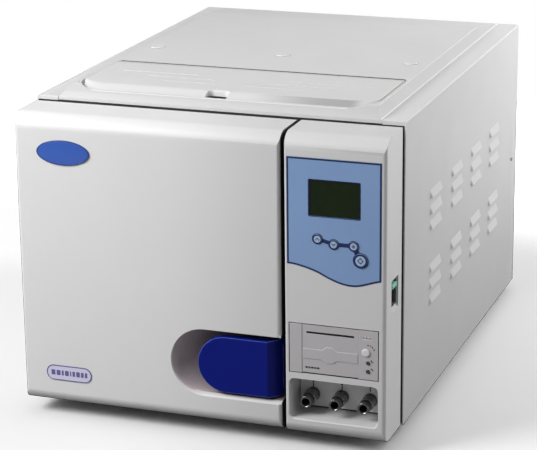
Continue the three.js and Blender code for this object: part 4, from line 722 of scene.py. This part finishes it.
for n, (x, z, r) in KEYS.items():
    pr = [(0, -64.6), (r - 0.1, -64.6), (r, -64.8), (r, -71.95), (r - 0.15, -72.15), (r - 0.5, -72.3)]
    for k in range(1, 7):
        u = k / 6.5; pr.append(((r - 0.5) * math.cos(u * math.pi / 2), -72.3 - 0.2 * math.sin(u * math.pi / 2)))
    pr.append((0, -72.5))
    piece(lathe("y", x, z, pr, 56), n.replace("key_", "dome_"), M["key"], nodes=n, smooth=40)
    y0, y1 = -72.2, -72.62
    ring = cyl("y", x, z, r - 0.1, -71.9, -72.58, 56); cut(ring, cyl("y", x, z, r - (1.4 if r < 6 else 2.3), -80, -60, 56))
    k = r / 5.6
    if n in ("key_up", "key_down"):
        sg = 1 if n == "key_up" else -1
        ic = prism("y", [(x - 2.6 * k, z - 1.1 * sg), (x, z + 1.7 * sg), (x + 2.6 * k, z - 1.1 * sg), (x + 2.0 * k, z - 1.75 * sg), (x, z + 0.45 * sg), (x - 2.0 * k, z - 1.75 * sg)], y0, y1)
    elif n == "key_select":
        ic = prism("y", [(x - 2.3, z), (x, z + 2.3), (x + 2.3, z), (x, z - 2.3)], y0, y1)
        cut(ic, prism("y", [(x - 1.35, z), (x, z + 1.35), (x + 1.35, z), (x, z - 1.35)], y0 + 1, y1 - 1))
        add(ic, cyl("y", x, z, 0.6, y0, y1, 16))
    else:
        ic = prism("y", [(x - 3.9, z), (x, z + 3.9), (x + 3.9, z), (x, z - 3.9)], y0, y1)
        cut(ic, prism("y", [(x - 2.5, z), (x, z + 2.5), (x + 2.5, z), (x, z - 2.5)], y0 + 1, y1 - 1))
    add(ring, ic)
    piece(ring, n.replace("key_", "mark_"), M["navy"], body=BODY_OF[n], smooth=30)

# display: glass with a dark bezel and a shallow inner step
glass = prism("y", rrect(138.8, 199.3, 274.2, 316.4, 1.0, 6), FRONT + 0.35, -62)
inner = prism("y", rrect(140.6, 198.2, 275.4, 314.9, 0.8, 6), FRONT - 1, FRONT + 0.75)
cut(glass, inner)
piece(glass, "lcd_bezel", M["lcd_frame"], nodes="lcd_display", width=0.12, smooth=30)
piece(prism("y", rrect(140.7, 198.1, 275.5, 314.8, 0.8, 6), FRONT + 0.55, FRONT + 0.73), "lcd_window", M["lcd"], nodes="lcd_display", smooth=30)
piece(box(128, 210, -61.9, -56, 262, 329), "lcd_module", M["black"], nodes="lcd_display", width=0.5)

# ------------------------------------------------------------------ printer
def pframe():
    f = box(114.15, 221.45, FRONT + 0.1, -36, 81.35, 141.25)
    cut(f, box(128.9, 197.9, -80, -66, 70, 150), box(133, 194, -70, -38, 84.5, 138.5))
    cut(f, cyl("x", -69, 83, 1.5, 127.3, 199.5, 20), cyl("y", 207.2, 114.4, 3.1, -80, -55, 32), cyl("y", 209.7, 101.8, 2.6, -80, -60, 32), cyl("y", 209.7, 91.3, 2.6, -80, -60, 32))
    # shallow label panel
    cut(f, prism("y", rrect(201.6, 214.6, 130.0, 134.4, 0.6, 4), -80, FRONT + 0.45))
    return f
piece(pframe(), "printer_bezel", M["printer"], nodes="printer_frame", width=0.3, segments=2, angle=50, smooth=30)
# Painted shade: a black ring behind the printer frame fills the gap round it.
shade_ring = box(112.95, 222.65, FRONT + 1.6, FRONT + 3.2, 80.15, 142.45); cut(shade_ring, box(114.3, 221.3, -80, -50, 81.5, 141.1))
piece(shade_ring, "printer_seal", M["shade_black"], body="chassis")
def pflap():
    d = prism("x", [(-68.6, 81.6), (-67.4, 82.2), (-67.4, 141.1), (FRONT + 0.75, 141.1), (FRONT + 0.75, 82.4), (-69.7, 81.6)], 129.3, 197.5)
    # the middle band stands a little proud, with a stepped centre
    band = [(129.7, 99.4), (153.6, 99.4), (158.6, 95.8), (166.6, 95.8), (171.6, 99.8), (197.1, 99.6), (197.1, 111.4), (171.6, 111.3), (166.6, 115.3), (158.8, 115.3), (153.6, 111.3), (129.7, 111.6)]
    rr = []
    for y, k in ((FRONT + 1.2, 0.0), (FRONT + 0.3, 0.0), (FRONT + 0.13, 0.18), (FRONT + 0.1, 0.4)):
        rr.append([(a, y, b) for a, b in offset(band, k)])
    add(d, loft(rr))
    cut(d, box(134.6, 192.6, -80, -60, 130.3, 133.0)); add(d, cyl("x", -69, 83, 1.2, 127.6, 199.2, 24))
    return d
piece(pflap(), "printer_door", M["printer"], nodes="printer_flap", width=0.12, segments=2, angle=50, smooth=30)
kn = lathe("y", 207.2, 114.4, [(0, -58), (2.8, -58), (2.8, -71.2), (5.0, -71.2), (5.0, -71.5), (4.8, -71.9), (4.5, -72.15), (4.1, -72.45), (3.4, -72.62), (0, -72.65)], 48)
for k in range(14):
    a = 2 * math.pi * k / 14
    cut(kn, cyl("y", 207.2 + 5.35 * math.cos(a), 114.4 + 5.35 * math.sin(a), 0.6, -74, -71.15, 10))
piece(kn, "knob", M["top"], nodes="printer_knob", width=0.12, smooth=34)
marks = None
for x, z, w, h in ((209.6, 123.7, 1.5, 1.5), (212.9, 123.4, 1.0, 1.7), (214.9, 121.7, 1.5, 1.6), (216.9, 118.9, 1.5, 1.8), (213.6, 105.0, 1.3, 2.2), (215.0, 103.4, 1.5, 1.4), (213.6, 95.0, 1.5, 1.5), (215.2, 93.8, 1.2, 1.8)):
    b = box(x - w / 2, x + w / 2, FRONT - 0.02, FRONT + 0.08, z - h / 2, z + h / 2); marks = b if marks is None else add(marks, b)
piece(marks, "printer_marks", M["ink_and_gap_shade"], body="chassis")
for n, z in (("feed", 101.8), ("power", 91.3)):
    pr = [(0, -63), (2.3, -63), (2.3, -71.6), (2.1, -71.9), (1.7, -72.0), (0.9, -71.85), (0, -71.8)]
    piece(lathe("y", 209.7, z, pr, 40), f"button_{n}", M["key_dark"], nodes=f"printer_{n}_key", smooth=40)
# Painted shade: a black block fills the paper slot.
piece(box(134.8, 192.4, FRONT + 1.3, -67.6, 130.5, 132.8), "paper_slot_shade", M["shade_black"], body=BODY_OF["printer_flap"])
lab = prism("y", rrect(201.9, 214.3, 130.3, 134.1, 0.5, 4), FRONT + 0.46, FRONT + 0.36)
piece(lab, "printer_label", M["pale"], body="chassis")
tk, x = None, 202.9
for w in (1.6, 0.7, 2.2, 0.7, 1.8, 0.8):
    b = box(x, x + w, FRONT + 0.30, FRONT + 0.355, 131.1, 133.3); tk = b if tk is None else add(tk, b); x += w + 0.8
piece(tk, "printer_label_marks", M["print_grey"], body="chassis")
tk, x = None, 133.2
for w in (3.0, 2.2, 3.8, 2.3, 3.2):
    b = box(x, x + w, FRONT + 0.69, FRONT + 0.745, 87.2, 89.4); tk = b if tk is None else add(tk, b); x += w + 0.7
piece(tk, "printer_line_marks", M["ink_and_gap_shade"], body=BODY_OF["printer_flap"])

# ------------------------------------------------------------------ hose couplings
p = prism("y", rrect(113.9, 221, 22.9, 71.6, 5.6, 8), -30, -28)
for x in FITX: cut(p, cyl("y", x, FITZ, 6, -40, -20, 40))
piece(p, "pocket_plate", M["plate"], nodes="fittings_plate", width=0.2)
tk = None
for x, z0 in zip(FITX, (46.5, 48.0, 50.0)):
    b = add(prism("y", rrect(x - 0.8, x + 0.6, z0, 53.4, 0.5, 4), -29.99, -30.12), cyl("y", x - 0.1, 55.4, 1.5, -29.99, -30.12, 20)); tk = b if tk is None else add(tk, b)
# Painted shade: the dark bar along the plate's foot stands for the shade of the gap to the pocket floor; the ticks are
# print.
add(tk, box(117, 218, -30.14, -29.99, 22.95, 24.3))
piece(tk, "pocket_marks_and_gap_shade", M["ink_and_gap_shade"], body="chassis")
for k, x in enumerate(FITX):
    name = ("left", "centre", "right")[k]
    # mouth ring, neck, grooved sleeve, collar and the shank through the plate
    pr = [(4.3, -50), (4.3, -59.6), (4.9, -60.6), (5.6, -61.0), (6.5, -60.95), (7.2, -60.5), (7.5, -59.6), (7.5, -56.2), (7.3, -55.6), (6.9, -55.3), (6.7, -54.9), (6.7, -48.6), (6.9, -48.1), (7.6, -47.5), (8.15, -46.9)]
    y = -46.9
    for q in range(4): pr += [(8.15, y + 1.4), (7.55, y + 1.65), (7.55, y + 2.15), (8.15, y + 2.4)]; y += 2.4
    pr += [(8.15, -36.6), (7.9, -36.3), (7.9, -35.9), (5.6, -35.9), (5.6, -16), (3.9, -16), (3.9, -50)]
    c = lathe("y", x, FITZ, pr, 64)
    nut = prism("y", [(x + 9.6 * math.cos(math.radians(30 + 60 * q + 12)), FITZ + 9.6 * math.sin(math.radians(30 + 60 * q + 12))) for q in range(6)], -35.8, -30.4)
    nut = meet(nut, lathe("y", x, FITZ, [(0, -35.85), (7.6, -35.85), (8.75, -34.9), (8.75, -31.2), (8.3, -30.3), (0, -30.3)], 64))
    cut(nut, cyl("y", x, FITZ, 4.6, -40, -20, 40))
    add(c, nut)
    c = piece(c, f"hose_coupling_{name}", M["dark_chrome"], nodes=f"coupling_{name}", smooth=32)
    tint(c, M["chrome"], lambda a, y, b, x=x: y < -55.2 or (y < -46.9 and math.hypot(a - x, b - FITZ) > 6.95))
    # Painted shade: the coupling's bore is black inside.
    tint(c, M["shade_black"], lambda a, y, b, x=x: y < -48 and math.hypot(a - x, b - FITZ) < 4.7)

# ------------------------------------------------------------------ switch
b = box(204, 227.1, -47.4, -19.6, 161.6, 195.4); cut(b, box(207, 240, -45.9, -21.1, 163.1, 193.9))
piece(b, "switch_well", M["well"], nodes="power_switch_body", width=0.3)
px, pz = 219, 178.5
roc = fillet([(px - 4, pz - 11), (px + 3.5, pz - 12.5), (px + 5.6, pz - 1), (px + 12.6, pz + 7.5), (px + 12, pz + 12), (px - 2, pz + 12)], [1, 1.5, 3, 1.2, 1.2, 1], 6)
piece(prism("y", roc, -45.2, -28.5), "rocker", M["green"], nodes="power_rocker", width=0.5, segments=3, angle=50)

# ------------------------------------------------------------------ chamber, door's back and inner units
r, w, b = CHR, 3.0, 444.6
pr = [(r, -4.9), (r + 0.5, -5.4), (136.5, -5.4), (137, -4.9), (137, 3.5), (r + w, 3.5), (r + w, b - 12)]
pr += [(r + w - (18 + w) * u, b - 12 + 15 * math.sin(u * math.pi / 2)) for u in (0.15, 0.3, 0.5, 0.75, 1)] + [(60, b + 6.6), (0, b + 8), (0, b + 5), (60, b + 3.4)]
pr += [(r - 19 * (1 - u) , b - 13 * u ** 1.6) for u in (0, 0.25, 0.5, 0.75, 1)]
piece(lathe("y", CHX, CHZ, pr, 128), "vessel", M["steel"], nodes="chamber_vessel", smooth=30)
pr = [(0, -18), (128, -18), (134, -17.6), (137.2, -16.2), (138, -14.6), (138, -6.9), (137.5, -6.4), (134.9, -6.4), (134.4, -6.9), (134.4, -9.2), (125.6, -9.2), (125.6, -6.9), (125.1, -6.4), (60, -6.4), (57, -7.0), (54, -6.4), (0, -6.4)]
piece(lathe("y", CHX, CHZ, pr, 128), "inner_door", M["steel"], nodes="pressure_plate", smooth=30)
pr = [(126, -8.9), (134, -8.9), (134, -6.8), (133.4, -6.1), (132, -5.75), (130.8, -6.0), (130, -6.15), (129.2, -6.0), (128, -5.75), (126.6, -6.1), (126, -6.8)]
piece(lathe("y", CHX, CHZ, pr, 128), "seal_ring", M["gasket"], nodes="door_gasket", smooth=40)

p = prism("y", [(-230.6, 2.9), (230.6, 2.9), (230, 370.3), (204.6, 370.3), (204.6, 369.1), (-204.6, 369.1), (-204.6, 370.3), (-230, 370.3)], 0.7, 2.9)
cut(p, cyl("y", CHX, CHZ, 139, -1, 5, 128), box(122, 214, -1, 5, 88, 330), cyl("y", 85, 250, 4.6, -1, 5, 40))
# Painted shade: the front frame is near-black for the shade in the gap behind the door.
piece(p, "front_plate", M["frame_gap_shade_paint"], nodes="front_frame", width=0.25)
p = prism("y", [(-230.6, 2.9), (230.6, 2.9), (229.4, 371.3), (-229.4, 371.3)], 575.7, 577.2)
cut(p, box(148, 180, 570, 580, 31, 54))
for i in range(7):
    k = 50 - abs(i - 3) * 6; z0 = 130 - 50 + i * 15
    cut(p, prism("y", rrect(140 - k, 140 + k, z0, z0 + 7, 3.4, 6), 570, 580))
for i in range(6): cut(p, prism("y", rrect(-190, -90, 230 + i * 15, 236 + i * 15, 2.95, 6), 570, 580))
piece(p, "back_sheet", M["paint"], nodes="rear_panel", width=0.25)
p = prism("y", rrect(DOOR[0] + WALL + 0.4, DOOR[1] - WALL - 0.4, DOOR[2] + WALL + 0.4, DOOR[3] - WALL - 0.4, 2, 4), -8.4, -6.6)
cut(p, cyl("y", CHX, CHZ, 139.4, -12, 0, 128), box(-230, -205, -12, 0, 63, 303), cyl("y", 85, 250, 4.6, -12, 0, 40))
piece(p, "door_liner", M["zinc"], nodes="door_back_plate", width=0.25)

KEPT = {"base_tray": ("zinc", 0.4), "lid_hinge_rod": ("steel", 0.2), "water_tank": ("tank", 0.5), "chamber_insulation": ("felt", 1.5), "safety_valve": ("brass", 0.5), "vacuum_pump": ("cast", 1.2),
        "water_pump": ("black", 0.8), "condenser": ("alu", 0.4), "fan_frame": ("black", 0.6), "fan_rotor": ("black", 0.3), "valve_block": ("brass", 0.6), "power_inlet": ("black", 0.5), "door_bridge": ("cast", 1.0),
        "hinge_bracket": ("zinc", 0.5), "hinge_pin": ("steel", 0.3), "latch_bolt": ("steel", 0.5), "lock_solenoid": ("zinc", 0.6), "lock_pin": ("steel", 0.3), "control_board": ("board", 0.3)}
for n, (m, wd) in KEPT.items():
    o = NODES[n]
    o.data.materials.clear(); o.data.materials.append(M[m])
    bevel(o, wd, 2, 35); weighted(o)

# ------------------------------------------------------------------ stage, lights, camera
def stage_mat():
    m = bpy.data.materials.new("stage"); m.use_nodes = True; nt = m.node_tree
    b = nt.nodes["Principled BSDF"]; b.inputs["Roughness"].default_value = 0.9; b.inputs["Specular IOR Level"].default_value = 0.1
    tc = nt.nodes.new("ShaderNodeTexCoord"); n = nt.nodes.new("ShaderNodeTexNoise"); n.inputs["Scale"].default_value = 3
    r = nt.nodes.new("ShaderNodeValToRGB"); r.color_ramp.elements[0].color = (0.20, 0.20, 0.20, 1); r.color_ramp.elements[1].color = (0.22, 0.22, 0.22, 1)
    nt.links.new(tc.outputs["Object"], n.inputs["Vector"]); nt.links.new(n.outputs[0], r.inputs[0]); nt.links.new(r.outputs[0], b.inputs["Base Color"])
    # the floor fades out behind the object
    sp = nt.nodes.new("ShaderNodeSeparateXYZ"); mr = nt.nodes.new("ShaderNodeMapRange"); mr.interpolation_type = "SMOOTHSTEP"
    mr.inputs["From Min"].default_value = 0.45; mr.inputs["From Max"].default_value = 1.2
    tr = nt.nodes.new("ShaderNodeBsdfTransparent"); mx = nt.nodes.new("ShaderNodeMixShader"); out = nt.nodes["Material Output"]
    nt.links.new(tc.outputs["Object"], sp.inputs[0]); nt.links.new(sp.outputs["Y"], mr.inputs["Value"]); nt.links.new(mr.outputs[0], mx.inputs[0])
    nt.links.new(b.outputs[0], mx.inputs[1]); nt.links.new(tr.outputs[0], mx.inputs[2]); nt.links.new(mx.outputs[0], out.inputs["Surface"])
    return m
bm = bmesh.new(); bm.faces.new([bm.verts.new(c) for c in ((-9, -9, 0), (9, -9, 0), (9, 1.45, 0), (-9, 1.45, 0))])
me = bpy.data.meshes.new("floor"); bm.to_mesh(me); bm.free()
floor = bpy.data.objects.new("floor", me); bpy.context.scene.collection.objects.link(floor)
floor.location = (0, 0, CAD_LO.z if hasattr(CAD_LO, "z") else CAD_LO[2]); me.materials.append(stage_mat())
floor.is_shadow_catcher = True

wd = bpy.data.worlds.new("studio"); bpy.context.scene.world = wd; wd.use_nodes = True
nt = wd.node_tree; bg = nt.nodes["Background"]; bg.inputs[1].default_value = 1.0
# the sky's lower half only shows past the floor and is white; the upper half is a soft grey room
wt = nt.nodes.new("ShaderNodeTexCoord"); sx = nt.nodes.new("ShaderNodeSeparateXYZ"); nt.links.new(wt.outputs["Generated"], sx.inputs[0])
wr = nt.nodes.new("ShaderNodeValToRGB"); wr.color_ramp.interpolation = "LINEAR"
mz = nt.nodes.new("ShaderNodeMapRange"); mz.inputs["From Min"].default_value = -1; mz.inputs["From Max"].default_value = 1; nt.links.new(sx.outputs["Z"], mz.inputs["Value"]); nt.links.new(mz.outputs[0], wr.inputs[0])
e = wr.color_ramp.elements; e[0].position = 0.0; e[0].color = (1, 1, 1, 1); e[1].position = 1.0; e[1].color = (0.22, 0.22, 0.22, 1)
for pos, v in ((0.497, 1.0), (0.51, 0.7), (0.56, 0.3), (0.64, 0.15), (0.8, 0.2)):
    q = e.new(pos); q.color = (v, v, v, 1)
nt.links.new(wr.outputs[0], bg.inputs[0])

def area(name, loc, target, size, energy, color=(1, 1, 1)):
    l = bpy.data.lights.new(name, "AREA"); l.shape = "RECTANGLE"; l.size, l.size_y = size; l.energy = energy; l.color = color
    o = bpy.data.objects.new(name, l); bpy.context.scene.collection.objects.link(o)
    o.location = loc; o.rotation_euler = (Vector(target) - Vector(loc)).to_track_quat("-Z", "Y").to_euler()
    return o
area("key", (-1.15, -1.25, 1.45), (-0.1, -0.2, 0.25), (1.1, 0.9), 31.5)
area("key_low", (-1.0, -1.05, 0.9), (-0.1, -0.2, 0.25), (0.9, 0.7), 8.6)
area("top", (0.0, 0.35, 2.2), (0, 0, 0.3), (2.0, 1.8), 6.8)
area("side", (1.7, -0.45, 0.9), (0.2, -0.1, 0.2), (0.9, 0.9), 5.9)
area("side_rear", (0.85, 0.75, 0.9), (0.2, 0.1, 0.25), (0.5, 0.5), 9.2)

cam = bpy.data.cameras.new("cam"); co = bpy.data.objects.new("cam", cam); bpy.context.scene.collection.objects.link(co)
az, el, roll = math.radians(19.63), math.radians(17.07), math.radians(-0.63)
back = Vector((math.sin(az) * math.cos(el), -math.cos(az) * math.cos(el), math.sin(el))); right = Vector((math.cos(az), math.sin(az), 0)); up = back.cross(right)
r2 = math.cos(roll) * right + math.sin(roll) * up; u2 = -math.sin(roll) * right + math.cos(roll) * up
mat = Matrix((r2, u2, back)).transposed().to_4x4(); mat.translation = V(850, -2203, 953)
co.matrix_world = mat
cam.sensor_width = 36; cam.sensor_fit = "HORIZONTAL"; cam.lens = 36 * 2057 / 537; cam.clip_end = 60
bpy.context.scene.camera = co
vs = bpy.context.scene.view_settings; vs.view_transform = "Standard"; vs.look = "None"; vs.exposure = 0.0; vs.gamma = 1.0
